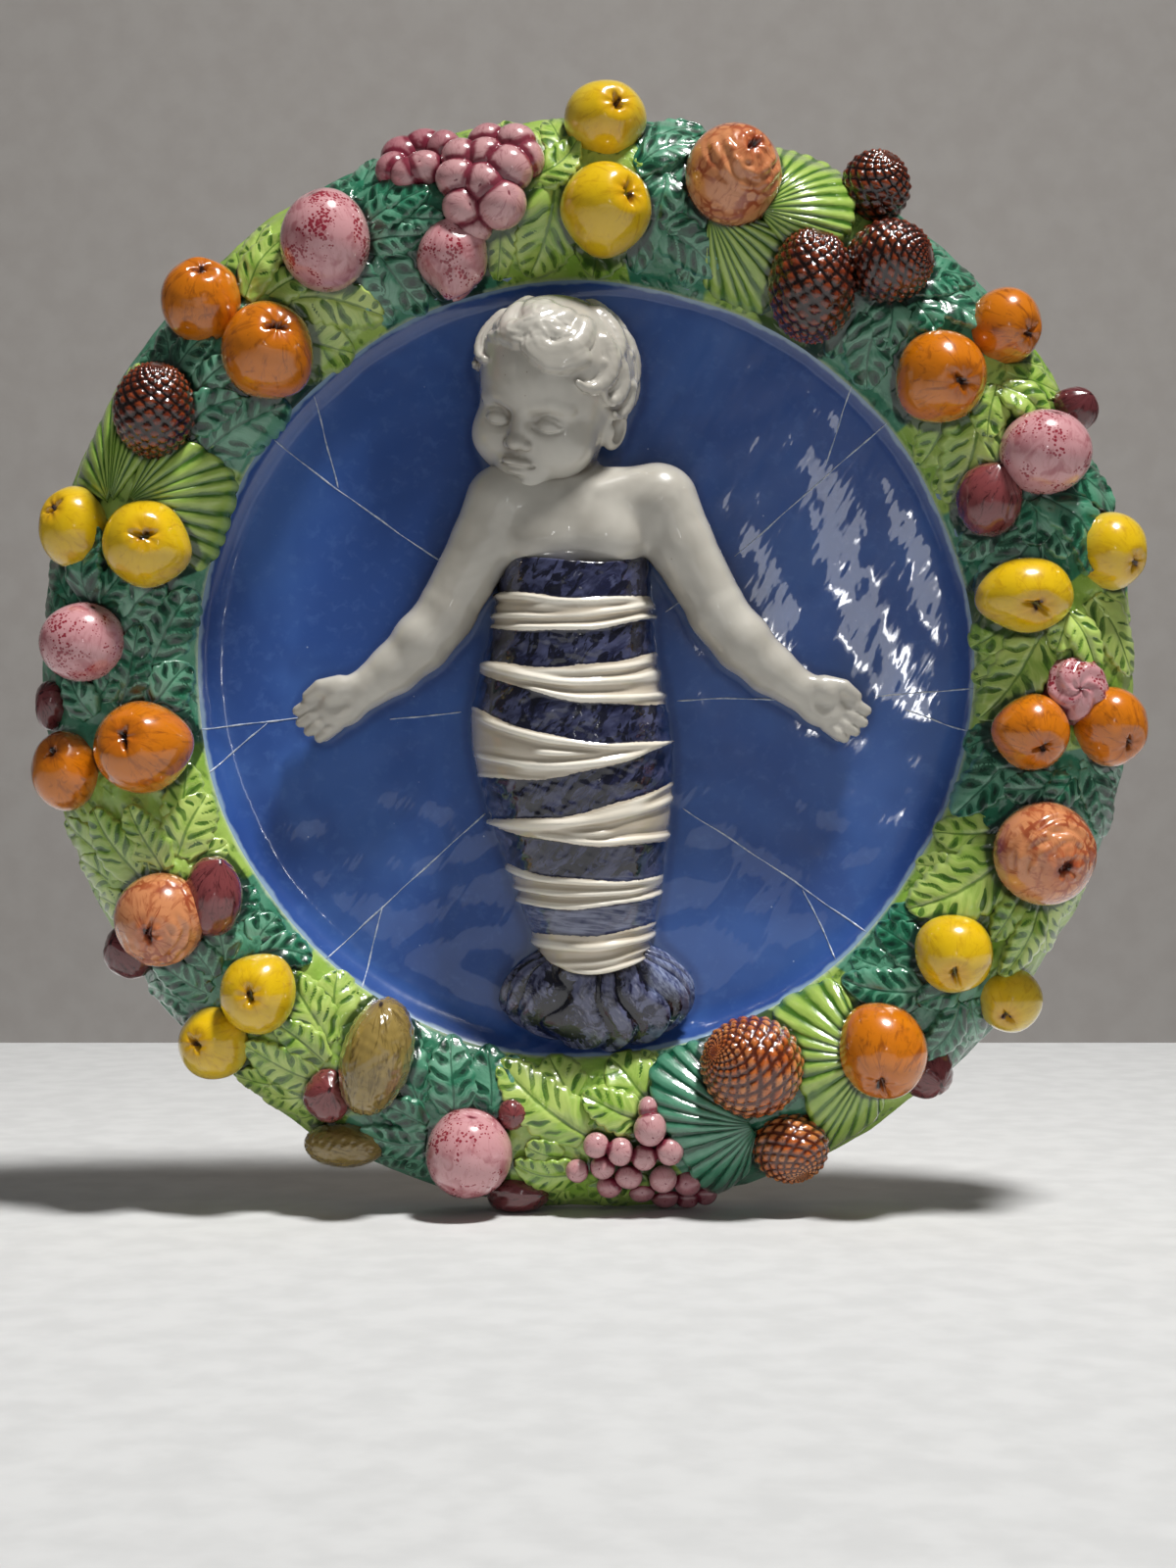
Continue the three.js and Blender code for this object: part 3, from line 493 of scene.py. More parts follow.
def fruit(kind, seed, soups, row):
    _, x, z, rx, rz, lift, ox, oz = row
    size = (rx + rz) / 2
    flat = kind in ("nut", "flower", "bulb")
    rh = size * (0.85 if flat else 1.0)
    h = bed(x, z) + 0.32 * size + lift
    C, R = (x, z, h), (rx, rz, rh)
    base = roundish(seed, 0.022)
    g0 = np.random.default_rng(seed + 77)
    turn = g0.uniform(0, TAU)

    def pear(P, toward=-1):
        # narrows on the side toward the dish
        inward = -np.array([x, z]) / math.hypot(x, z)
        k = (P[:, 0] * inward[0] + P[:, 1] * inward[1]) / size
        f = 1 - 0.16 * np.clip(k, 0, 1.2) ** 2
        side = np.array([-inward[1], inward[0]])
        c = P[:, 0] * side[0] + P[:, 1] * side[1]
        m = P.copy()
        m[:, 0] += side[0] * c * (f - 1)
        m[:, 1] += side[1] * c * (f - 1)
        m[:, 0] += inward[0] * size * 0.07 * np.clip(k, 0, 1) ** 3
        m[:, 1] += inward[1] * size * 0.07 * np.clip(k, 0, 1) ** 3
        return m

    if kind == "quince":
        shell(soups["quince"], C, R, (ox, oz), 56, 34, lambda T, P, g: base(T, P) + eye_hole(T, P, turn)
              + 0.010 * np.cos(5 * P + turn) * np.sin(T) ** 2, seed, after=pear)
    elif kind == "orange":
        shell(soups["orange"], C, R, (ox, oz), 56, 34, lambda T, P, g: base(T, P) + eye_hole(T, P, turn, 0.10, 0.2, 0.09)
              + 0.014 * np.cos(4 * P + turn) * np.exp(-((T - 0.5) / 0.4) ** 2)
              - 0.02 * np.exp(-((T - 1.0 - 0.12 * np.cos(P * 2 + turn)) / 0.06) ** 2) * (np.cos(P - turn) > 0.2), seed, after=pear)
    elif kind == "pomegranate":
        def crown(T, P, g):
            out = base(T, P) + eye_hole(T, P, turn, 0.09, 0.15, 0.02)
            lips = 0.06 * np.exp(-((T - 0.24) / 0.07) ** 2) * (0.65 + 0.35 * np.cos(6 * P + turn))
            scales = 0.030 * np.cos(T * 22 + 1.2 * np.cos(P * 3 + turn)) * sm(T, 0.35, 0.5) * (1 - sm(T, 0.95, 1.25)) * sm(np.cos(P - turn - 2.2), -0.5, 0.3)
            cells = 0.02 * np.cos(9 * P + 3 * np.cos(T * 11)) * sm(T, 0.35, 0.5) * (1 - sm(T, 0.9, 1.2)) * sm(np.cos(P - turn - 2.2), -0.5, 0.3)
            return out + lips + scales + cells
        shell(soups["pomegranate"], C, R, (ox, oz), 96, 56, crown, seed)
    elif kind == "speckled":
        shell(soups["speckled"], C, R, (ox, oz), 56, 34, lambda T, P, g: base(T, P)
              - 0.05 * np.exp(-(T / 0.2) ** 2) + 0.012 * np.cos(3 * P + turn) * np.sin(T) ** 2, seed)
    elif kind == "bulb":
        shell(soups["speckled"], C, R, (ox, oz), 56, 34, lambda T, P, g: (1 - 0.12 * (1 - sm(T, 0.2, 1.3)) + 0.05 * np.cos(3 * P + 2.4 * T) + 0.035 * np.cos(5 * T + 2 * P)
              - 0.06 * np.exp(-((np.cos(P - turn) - 0.55 * np.sin(3 * T)) / 0.22) ** 2) * np.sin(T)) * base(T, P), seed)
    elif kind == "flower":
        shell(soups["speckled"], C, R, (ox, oz), 72, 40, lambda T, P, g: base(T, P)
              + 0.10 * np.abs(np.cos(2.5 * P + turn + T)) * sm(T, 0.15, 0.7) - 0.10 * np.exp(-(T / 0.25) ** 2)
              + 0.05 * np.cos(5 * P + 9 * T), seed)
    elif kind == "nut":
        def nutty(T, P, g):
            k = 4 if size > 8 else 3
            return base(T, P) * (1 - 0.07 * (1 - np.abs(np.cos(k * P / 2 * 1.0 + turn + 0.35 * T))) * np.sin(T)) \
                + 0.10 * np.exp(-(T / 0.28) ** 2) - 0.012 * np.cos(14 * P + 2 * np.cos(5 * T)) * np.sin(T)
        shell(soups["nut"], C, R, (ox, oz), 56, 30, nutty, seed)
    elif kind == "long":
        def warty(T, P, g):
            row = np.exp(-((np.abs(np.angle(np.exp(1j * (P - turn)))) - 0.0) / 0.16) ** 2) * np.sin(T)
            notch = 0.045 * row * np.cos(T * 26)
            warts = 0.022 * np.cos(11 * P + 2.4 * np.cos(T * 9)) * np.cos(T * 17 + 1.7 * np.cos(P * 5)) * np.sin(T)
            return base(T, P) + notch + warts
        spin = 14 if x > -80 else 0

        def lean(P):
            c, s_ = math.cos(spin * DEG), math.sin(spin * DEG)
            m = P.copy()
            m[:, 0] = P[:, 0] * c + P[:, 1] * s_
            m[:, 1] = -P[:, 0] * s_ + P[:, 1] * c
            return m
        shell(soups["long"], C, R, (ox, oz), 100, 60, warty, seed, after=lean)
    elif kind in ("cone", "painted_cone"):
        n1 = 13 if size > 15 else 11
        rows = 6.6 if size > 15 else 5.4

        def lattice(T, P):
            q = -np.log(np.maximum(np.tan(np.clip(T, 0.02, 3.0) / 2), 1e-3))
            q = q * 0.5 + (math.pi / 2 - T) * 0.6
            wob = 0.10 * np.sin(3 * P + 4 * T + seed)
            a, b = n1 * P / TAU + rows * q / 2 + wob, n1 * P / TAU - rows * q / 2 + wob
            return a, b

        def groove(T, P):
            a, b = lattice(T, P)
            fa, fb = np.abs(a - np.round(a)) * 2, np.abs(b - np.round(b)) * 2
            return np.clip(np.minimum(fa, fb), 0, 1)

        def scaly(T, P, g):
            w = sm(T, 0.10, 0.4) * (1 - sm(T, 2.75, 3.0))
            a, b = lattice(T, P)
            dome = groove(T, P) ** 0.55
            lift_ = ((b - a) / 2) % 1.0
            return base(T, P) + w * (0.095 * (dome - 0.55) + 0.03 * (0.5 - np.abs(lift_ - 0.5)))
        shell(soups[kind], C, R, (ox, oz), 112, 66, scaly, seed, cell=groove)


def grape(soup, i, row):
    x, z, rx, rz = row
    size = (rx + rz) / 2
    over = max(0.0, math.hypot(x, z) - 191)
    top_bunch = z > 0
    C = (x, z, bed(x, z) + (0.5 + 0.45 * size if top_bunch else 1.5 + 0.6 * size) - over)
    g = np.random.default_rng(900 + i)
    base = roundish(900 + i, 0.06 if top_bunch else 0.035)
    shell(soup, C, (rx * 1.04, rz * 1.04, size), (g.uniform(-.4, .4), g.uniform(-.5, .3)), 26, 16,
          lambda T, P, g_: base(T, P) - 0.06 * np.exp(-(T / 0.16) ** 2), 900 + i)


# ------------------------------------------------------------------ modelled clay: distance fields and their skins
def ell(P, c, r, M=None):
    q = P - np.asarray(c, np.float32)
    if M is not None:
        q = q @ M
    r = np.asarray(r, np.float32)
    k0 = np.sqrt(((q / r) ** 2).sum(1))
    k1 = np.sqrt(((q / (r * r)) ** 2).sum(1))
    return k0 * (k0 - 1) / np.maximum(k1, 1e-5)


def cap(P, a, b, ra, rb):
    a, b = np.asarray(a, np.float32), np.asarray(b, np.float32)
    ab = b - a
    t = np.clip(((P - a) @ ab) / (ab @ ab), 0, 1)
    return np.sqrt(((P - a - t[:, None] * ab) ** 2).sum(1)) - (ra + t * (rb - ra))


def chain(P, pts, k=0.0):
    d = None
    for (p, q) in zip(pts[:-1], pts[1:]):
        e = cap(P, p[:3], q[:3], p[3], q[3])
        d = e if d is None else (np.minimum(d, e) if k == 0 else smin(d, e, k))
    return d


def smin(a, b, k):
    h = np.maximum(k - np.abs(a - b), 0) / k
    return np.minimum(a, b) - h * h * k * 0.25


def smax(a, b, k):
    return -smin(-a, -b, k)


def skin_of(f, lo, hi, step):
    """The zero surface of f as quads, by surface nets, each vertex then moved onto the surface."""
    lo, hi = np.asarray(lo, float), np.asarray(hi, float)
    n = np.ceil((hi - lo) / (4 * step)).astype(int) * 4 + 1
    cn = (n - 1) // 4 + 1
    ax = [lo[i] + step * 4 * np.arange(cn[i]) for i in range(3)]
    g = np.stack(np.meshgrid(*ax, indexing="ij"), -1).reshape(-1, 3).astype(np.float32)
    Dc = f(g).reshape(cn)
    near = np.abs(Dc) < 4 * step * 1.9 + 1.2
    act = np.zeros(cn - 1, bool)
    for i in (0, 1):
        for j in (0, 1):
            for k in (0, 1):
                act |= near[i:cn[0] - 1 + i, j:cn[1] - 1 + j, k:cn[2] - 1 + k]
    D = np.repeat(np.repeat(np.repeat(Dc, 4, 0), 4, 1), 4, 2)[:n[0], :n[1], :n[2]].astype(np.float32)
    fine = np.zeros(n, bool)
    big = np.repeat(np.repeat(np.repeat(act, 4, 0), 4, 1), 4, 2)
    for i in (0, 1):
        for j in (0, 1):
            for k in (0, 1):
                fine[i:i + big.shape[0], j:j + big.shape[1], k:k + big.shape[2]] |= big
    idx = np.argwhere(fine)
    D[fine] = f((lo + idx * step).astype(np.float32))
    # nothing may touch the border
    for a in range(3):
        sl = [slice(None)] * 3
        for e in (0, -1):
            sl[a] = e
            D[tuple(sl)] = np.maximum(D[tuple(sl)], 0.3)
    S = D < 0
    c = [S[i:n[0] - 1 + i, j:n[1] - 1 + j, k:n[2] - 1 + k] for i in (0, 1) for j in (0, 1) for k in (0, 1)]
    cnt = sum(x.astype(np.int8) for x in c)
    cells = np.argwhere((cnt > 0) & (cnt < 8))
    vid = np.full(n - 1, -1, np.int64)
    vid[tuple(cells.T)] = np.arange(len(cells))
    corners = [(i, j, k) for i in (0, 1) for j in (0, 1) for k in (0, 1)]
    val = np.stack([D[cells[:, 0] + i, cells[:, 1] + j, cells[:, 2] + k] for i, j, k in corners], 1)
    acc, num = np.zeros((len(cells), 3)), np.zeros(len(cells))
    for p in range(8):
        for q in range(p + 1, 8):
            if sum(abs(corners[p][i] - corners[q][i]) for i in range(3)) != 1:
                continue
            a, b = val[:, p], val[:, q]
            m = (a < 0) != (b < 0)
            t = np.where(m, a / np.where(m, a - b, 1), 0)
            pt = np.array(corners[p]) + t[:, None] * (np.array(corners[q]) - np.array(corners[p]))
            acc[m] += pt[m]
            num[m] += 1
    V = lo + (cells + acc / num[:, None]) * step
    quads = []
    for a in range(3):
        b, cc = (a + 1) % 3, (a + 2) % 3
        sl0, sl1 = [slice(None)] * 3, [slice(None)] * 3
        sl0[a], sl1[a] = slice(0, -1), slice(1, None)
        e = np.argwhere(S[tuple(sl0)] != S[tuple(sl1)])
        e = e[(e[:, b] > 0) & (e[:, cc] > 0) & (e[:, b] < n[b] - 1) & (e[:, cc] < n[cc] - 1)]
        q = []
        for db, dc in ((0, 0), (-1, 0), (-1, -1), (0, -1)):
            t = e.copy()
            t[:, b] += db
            t[:, cc] += dc
            q.append(vid[tuple(t.T)])
        q = np.stack(q, 1)
        flip = S[tuple(e.T)]
        q[~flip] = q[~flip][:, ::-1]
        quads.append(q)
    Q = np.concatenate(quads)
    for _ in range(2):
        P = V.astype(np.float32)
        d0 = f(P)
        eps = 0.25
        gr = np.stack([(f(P + np.eye(3, dtype=np.float32)[i] * eps) - d0) / eps for i in range(3)], 1)
        m = np.maximum((gr ** 2).sum(1), 0.2)
        mv = -(d0 / m)[:, None] * gr
        ln = np.sqrt((mv ** 2).sum(1))
        mv *= np.minimum(1, 0.45 * step / np.maximum(ln, 1e-6))[:, None]
        V = V + mv
    return V, Q


def normals_of(V, Q):
    a, b, c, d = V[Q[:, 0]], V[Q[:, 1]], V[Q[:, 2]], V[Q[:, 3]]
    fn = np.cross(c - a, d - b)
    N = np.zeros_like(V)
    for i in range(4):
        np.add.at(N, Q[:, i], fn)
    return N / np.maximum(np.linalg.norm(N, axis=1), 1e-9)[:, None]


# ------------------------------------------------------------------ the infant
HEAD = np.array([-14.2, 95.2, 30.9])
HEAD_SIZE = 1.06
_f = np.array([-0.40, -0.25, 0.87])
_f /= np.linalg.norm(_f)
_u = np.array([0.20, 1.0, 0.1])
_u -= _f * (_u @ _f)
_u /= np.linalg.norm(_u)
HEAD_AXES = np.stack([np.cross(_u, _f), _u, _f], 1).astype(np.float32)     # its right, up and forward
SKULL, SKULL_R = np.array([0, 7.0, -3.0]), np.array([25.0, 25.0, 27.5])


def skull_point(az, el, off):
    d = np.array([math.sin(az) * math.cos(el), math.sin(el), math.cos(az) * math.cos(el)])
    return SKULL + d * (SKULL_R + off)


def make_locks():
    """Locks of hair: chains of balls laid on the skull, each curling at its end."""
    g = np.random.default_rng(41)
    out = []
    # start azimuth and height on the skull, heading (0 is down, 90 toward the head's left), turn, length, thickness
    rows = ((-6, 66, -12, -30, 24, 5.2), (-24, 62, -45, -55, 25, 5.2), (-46, 56, -35, -60, 25, 5.0), (-68, 44, -10, -70, 22, 4.6),
            (-88, 28, 0, -95, 19, 4.2), (12, 62, 30, 45, 25, 5.2), (32, 58, 55, 35, 28, 5.4), (54, 50, 30, 70, 27, 5.2),
            (72, 36, 0, 95, 24, 4.8), (44, 40, 40, 110, 20, 4.2), (84, 16, -5, 120, 18, 4.2), (100, 0, 5, 95, 15, 3.8),
           
            (98, 60, 5, 70, 25, 5.2), (140, 64, 0, 70, 25, 5.2), (-100, 58, 0, -70, 25, 5.0), (-145, 60, 0, -70, 25, 5.0),
            (118, 36, -10, 90, 22, 4.8), (122, 8, 5, 95, 18, 4.2), (46, 24, 70, 165, 34, 3.8), (130, -18, 0, -80, 16, 3.8), (-122, 34, 0, 80, 22, 4.6),
            (-126, 6, 0, -85, 18, 4.2), (-118, -14, 5, -85, 14, 3.6), (152, 30, 0, 80, 22, 4.6), (154, 0, 0, -80, 18, 4.2),
            (150, -26, 0, 70, 15, 3.6), (-152, 26, 0, 80, 22, 4.6), (-152, -4, 0, 80, 18, 4.2), (180, 8, 0, 70, 20, 4.2))
    for az, el, hd, turn, ln, th in rows:
        p = skull_point(az * DEG, el * DEG, -0.6)
        n_seg = 9
        st = ln / n_seg
        pts = []
        for i in range(n_seg + 1):
            t = i / n_seg
            nrm = (p - SKULL) / SKULL_R ** 2
            nrm /= np.linalg.norm(nrm)
            down = np.array([0, -1.0, 0]) - nrm * (-nrm[1])
            if np.linalg.norm(down) < 0.25:
                down = np.array([0.0, -0.4, 0.9]) - nrm * (np.array([0.0, -0.4, 0.9]) @ nrm)
            down /= np.linalg.norm(down)
            side = np.cross(down, nrm)
            rad = th * (0.70 + 0.30 * math.sin(math.pi * min(1, 0.15 + t * 0.9))) * (1 - 0.66 * t ** 1.8)
            rise = 3.5 - 0.62 * rad + 0.7 * math.sin(math.pi * min(1, t * 1.15))
            pts.append((*(p + nrm * rise), rad))
            a = (hd + turn * t ** 1.5 * 1.5) * DEG
            p = p + (down * math.cos(a) + side * math.sin(a)) * st
            q = (p - SKULL) / (SKULL_R - 0.6)
            p = SKULL + (p - SKULL) / np.linalg.norm(q)
        out.append(np.array(pts, np.float32))
    return out


LOCKS = make_locks()


def head_field(P):
    q = (P - HEAD.astype(np.float32)) @ HEAD_AXES / np.float32(HEAD_SIZE)
    d = ell(q, SKULL, SKULL_R)
    d = smin(d, ell(q, (0, -9, 3), (21.5, 21, 19.5)), 6)
    d = smin(d, ell(q, (0, 8, 8.5), (18.5, 15.5, 15.5)), 5)         # forehead
    d = smin(d, ell(q, (0, -20, 3.5), (16.5, 12.5, 15)), 5)         # jaw
    for s_ in (-1, 1):
        d = smin(d, ell(q, (12.2 * s_, -13, 11.2), (9.6, 9.4, 8.6)), 5)    # cheeks
    d = smin(d, ell(q, (0, -25.8, 14.6), (8.2, 5.6, 6.0)), 5)       # chin
    d = smin(d, ell(q, (0, -21.4, 16.6), (7.6, 5.2, 4.9)), 4.0)     # round the mouth
    for s_ in (-1, 1):
        d = smax(d, -ell(q, (9.4 * s_, -4.4, 25.0), (7.2, 4.2, 6.2)), 3.2)  # sockets
        d = smin(d, ell(q, (9.3 * s_, -5.6, 16.2), (5.7, 4.7, 5.3)), 0.7)   # eyes
        d = smin(d, chain(q, [(4.2 * s_, 0.2, 21.6, 1.5), (9.5 * s_, 1.9, 20.9, 1.8), (15.5 * s_, 0.4, 17.2, 1.2)]), 2.6)   # brows
    d = smin(d, cap(q, (0, -2.0, 20.4), (0, -11.2, 23.6), 2.0, 2.4), 3.4)     # nose
    d = smin(d, ell(q, (0, -12.3, 24.2), (3.1, 2.6, 3.1)), 1.6)
    for s_ in (-1, 1):
        d = smin(d, ell(q, (3.3 * s_, -13.2, 22.2), (2.0, 1.8, 2.3)), 1.0)
        d = smax(d, -ell(q, (1.6 * s_, -15.0, 23.4), (0.9, 0.75, 1.5)), 0.6)
    d = smax(d, -cap(q, (0, -16.4, 22.6), (0, -18.0, 22.4), 0.3, 0.5), 1.4)
    for s_ in (-1, 1):
        d = smin(d, ell(q, (2.0 * s_, -19.2, 21.5), (3.4, 1.5, 2.2)), 0.8)
    d = smin(d, ell(q, (0, -22.3, 20.6), (3.7, 1.75, 2.3)), 0.8)
    for s_ in (-1, 1):
        d = smax(d, -chain(q, [(5.9 * s_, -20.2, 20.2, 0.5), (2.8 * s_, -20.5, 22.8, 0.5), (0, -20.9, 23.4, 0.55)]), 0.5)
    d = smax(d, -ell(q, (0, -24.7, 22.2), (3.6, 0.8, 1.8)), 1.8)
    # ears
    for s_ in (-1, 1):
        M = np.array([[math.cos(.45 * s_), 0, -math.sin(.45 * s_)], [0, 1, 0], [math.sin(.45 * s_), 0, math.cos(.45 * s_)]], np.float32)
        e = ell(q, (23.6 * s_, -6.5, -3.2), (3.2, 8.0, 5.4), M)
        e = smax(e, -ell(q, (25.6 * s_, -6.0, -2.6), (2.3, 5.6, 3.2), M), 1.0)
        e = smin(e, ell(q, (23.4 * s_, -7.6, -0.4), (2.0, 2.4, 1.5)), 1.2)
        d = smin(d, e, 1.6)
    # hair: a cap behind the hairline, then the locks
    line = 0.76 * q[:, 1] - 0.65 * q[:, 2] + 2.2 + 1.2 * np.sin(q[:, 0] * 0.33 + 0.6)
    hair = ell(q, SKULL, SKULL_R + np.array([2.6, 2.8, 2.6])) + 2.4 * (1 - sm(line, 0, 9.0)).astype(np.float32)
    hair = smax(hair, -line, 1.2)
    hair = smax(hair, -(q[:, 1] + 20), 3.0)
    d = smin(d, hair, 1.4)
    for L in LOCKS:
        c = L[:, :3].mean(0)
        R = np.sqrt(((L[:, :3] - c) ** 2).sum(1).max()) + 8
        m = ((q - c) ** 2).sum(1) < R * R
        if m.any():
            qq = q[m]
            e = None
            for i in range(len(L) - 1):
                t = cap(qq, L[i, :3], L[i + 1, :3], float(L[i, 3]), float(L[i + 1, 3]))
                e = t if e is None else np.minimum(e, t)
            d[m] = smin(d[m], e, 1.2)
    d = d * np.float32(HEAD_SIZE)
    neck = chain(P, [(-10, 55, 23.5, 15.0), (-9.5, 66, 24.5, 13.5), (-9.5, 80, 27, 12.5)])
    d = smin(d, neck, 2.4)
    return smax(d, 8.0 - P[:, 2], 1.0)


def head_detail(V, N):
    """Strands along the locks, and the lids of the eyes."""
    q = (V - HEAD) @ HEAD_AXES / HEAD_SIZE
    best, lat, along = np.full(len(V), 9.0), np.zeros(len(V)), np.zeros(len(V))
    nq = N @ HEAD_AXES
    for L in LOCKS:
        for i in range(len(L) - 1):
            a, b = L[i, :3].astype(float), L[i + 1, :3].astype(float)
            ab = b - a
            t = np.clip(((q - a) @ ab) / (ab @ ab), 0, 1)
            r = L[i, 3] + t * (L[i + 1, 3] - L[i, 3])
            off = q - a - t[:, None] * ab
            d = np.sqrt((off ** 2).sum(1)) - r
            m = d < best
            best[m] = d[m]
            c = np.cross(nq, ab / np.linalg.norm(ab))
            w = (off * c).sum(1) / np.maximum(r, 0.5)
            lat[m] = w[m]
            along[m] = ((i + t) / (len(L) - 1))[m]
    on = 1 - sm(best, 0.3, 1.0)
    groove = 0.5 + 0.5 * np.cos(lat * math.pi * 2.3 + 0.8 * np.sin(along * 5))
    out = -0.50 * on * groove ** 1.4 * sm(along, 0.02, 0.2) * (1 - sm(along, 0.8, 1.0))
    for s_ in (-1, 1):
        xx, yy = (q[:, 0] * s_ - 9.4) / 5.4, q[:, 1] + 6.9
        front = sm(q[:, 2], 12, 15)
        k = np.clip(1 - xx ** 2, 0, 1)
        lashes = -1.25 * k + 0.5 * xx ** 2          # the closed lids meet low on the eye
        slit = np.exp(-((yy - lashes) / 0.42) ** 2) * sm(k, 0.0, 0.2)
        rim = np.exp(-((yy - lashes - 0.85) / 0.5) ** 2) * sm(k, 0.0, 0.3)
        fold = np.exp(-((yy - 2.6 * k - 0.9) / 0.5) ** 2) * sm(k, 0.05, 0.4)
        under = np.exp(-((yy - lashes + 1.1) / 0.6) ** 2) * sm(k, 0.0, 0.25)
        out += front * (-0.55 * slit + 0.25 * rim - 0.42 * fold + 0.12 * under)
    return V + N * out[:, None]


# one arm, opened to the side: distance from the body's axis, height up the face, height off the wall, thickness
AXIS = -2.2
UPPER_ARM = [(29.0, 57.5, 31, 13.3), (35.6, 42.5, 30, 12.2), (47.6, 21.5, 29, 10.8)]
FOREARM = [(49.6, 17.0, 29, 11.0), (58.6, 6.2, 28.5, 10.5), (68.6, -3.0, 27.4, 9.2), (78.0, -9.8, 27, 7.7)]
PALM, REACH = (87.2, -15.5, 27.0), (0.855, -0.52)
ARMS = {s_: dict(upper=[(AXIS + s_ * a, *r) for a, *r in UPPER_ARM], fore=[(AXIS + s_ * a, *r) for a, *r in FOREARM],
                 palm=(AXIS + s_ * PALM[0], *PALM[1:]), way=(s_ * REACH[0], REACH[1])) for s_ in (-1, 1)}


def body_field(P):
    d = ell(P, (-5, 47, 23), (27.5, 20, 22))
    d = smin(d, cap(P, (-29, 57, 30), (23, 58, 30), 12.4, 12.6), 9)
    for x in (-17.5, 7.5):
        d = smin(d, ell(P, (x, 43, 36), (12.5, 9.5, 9.6)), 7)
    d = smin(d, cap(P, (-25, 65.0, 37.5), (-12, 60.5, 41), 1.6, 1.3), 4)
    d = smin(d, cap(P, (17, 65.5, 37.5), (4, 60.5, 41), 1.6, 1.3), 4)
    d = smin(d, chain(P, [(-10, 55, 23.5, 15.0), (-9.5, 66, 24.5, 13.5), (-9.5, 80, 27, 12.5)]), 5)
    d = smax(d, -ell(P, (-4.5, 62.0, 50.0), (5, 3.5, 4)), 4)
    # the trunk below, which the bands lie on
    d = smin(d, cap(P, (-4, 28, 22), (-4, 12, 23), 18, 20), 4)
    for s_, A in ARMS.items():
        up, fo = chain(P, A["upper"], 2.0), chain(P, A["fore"], 2.0)
        a = smin(up, fo, 2.2)
        # flesh swelling above and below the elbow
        e = np.array(A["fore"][1][:3]) + np.array([-0.6 * s_, 2.0, 1.5])
        a = smin(a, ell(P, e, (9.6, 9.0, 9.6)), 3)
        # the clay behind, down to the dish
        low = [(x, z, h - 9, r * 0.93) for x, z, h, r in A["upper"] + A["fore"]]
        a = smin(a, chain(P, low), 4)
        d = smin(d, a, 5.0) if True else d
        w = np.array([A["way"][0], A["way"][1], 0.0])
        w /= np.linalg.norm(w)
        side = np.array([w[1], -w[0], 0.0]) * (1 if s_ > 0 else -1)     # toward the little finger
        if side[1] > 0:
            side = -side
        c = np.array(A["palm"])
        M = np.stack([w, side, [0, 0, 1.0]], 1).astype(np.float32)
        hand = ell(P, c, (10.5, 8.6, 6.4), M)
        hand = smin(hand, ell(P, c - [0, 0, 7], (10.5, 7.6, 6.5), M), 4)
        hand = smax(hand, -ell(P, c + w * 2.0 + np.array([0, 0, 8.2]), (6.0, 5.0, 3.6), M), 3.0)
        hand = smin(hand, ell(P, c - w * 2 - side * 4.6 + np.array([0, 0, 3.2]), (6.4, 3.9, 4.2), M), 2.0)
        d = smin(d, hand, 3.2)
        th = [c - side * 6.4 - w * 2.5 + [0, 0, 3.0], c - side * 9.0 + w * 3.8 + [0, 0, 3.4], c - side * 8.6 + w * 9.4 + [0, 0, 2.2]]
        d = smin(d, chain(P, [(*th[0], 3.5), (*th[1], 3.0), (*th[2], 2.3)]), 1.4)
        for j, (ln, off) in enumerate(((9.0, -5.4), (10.2, -1.7), (9.4, 2.0), (7.2, 5.5))):
            b = c + w * 6.6 + side * off + np.array([0, 0, 0.6])
            m1 = b + w * ln * 0.55 + side * 0.10 * off + np.array([0, 0, 0.8])
            m2 = b + w * ln + side * 0.16 * off + np.array([0, 0, 0.0])
            d = smin(d, chain(P, [(*b, 2.75), (*m1, 2.5), (*m2, 2.0)]), 0.9)
            d = smin(d, cap(P, b - [0, 0, 5], m2 - w * 1.5 - [0, 0, 5], 2.6, 2.2), 1.6)
    return smax(d, 10.5 - P[:, 2], 1.0)


# the bands and the folds, on the trunk: half width, middle and height by z
_T = np.array([(46, -4.9, 27.0, 46), (38, -5.0, 27.3, 47.5), (36, -5.0, 27.6, 48.6), (17, -5.5, 29.6, 50.5), (6, -6.3, 31.0, 51.0), (-7, -7.0, 33.6, 51.2),
               (-19.5, -6.8, 36.4, 52.2), (-32, -5.6, 37.0, 52.6), (-45, -4.2, 35.4, 52.0), (-58, -2.7, 33.0, 50.6),
               (-70, -1.4, 30.2, 48.8), (-83, -0.2, 26.6, 46.5), (-96, 1.1, 23.9, 44.2), (-105, 1.7, 22.4, 43.0),
               (-113.5, 2.0, 20.8, 41.8), (-118, 2.1, 19.6, 40.5)])[::-1]


def trunk_at(z):
    return [np.interp(z, _T[:, 0], _T[:, i]) for i in (1, 2, 3)]


def smooth_line(pts, n=10):
    P = np.array(pts, float)
    P = np.vstack([2 * P[0] - P[1], P, 2 * P[-1] - P[-2]])
    t = np.linspace(0, 1, n, endpoint=False)[:, None]
    out = []
    for i in range(1, len(P) - 2):
        p0, p1, p2, p3 = P[i - 1], P[i], P[i + 1], P[i + 2]
        out.append(0.5 * (2 * p1 + (p2 - p0) * t + (2 * p0 - 5 * p1 + 4 * p2 - p3) * t ** 2 + (3 * p1 - p0 - 3 * p2 + p3) * t ** 3))
    return np.vstack(out + [P[-2][None]])


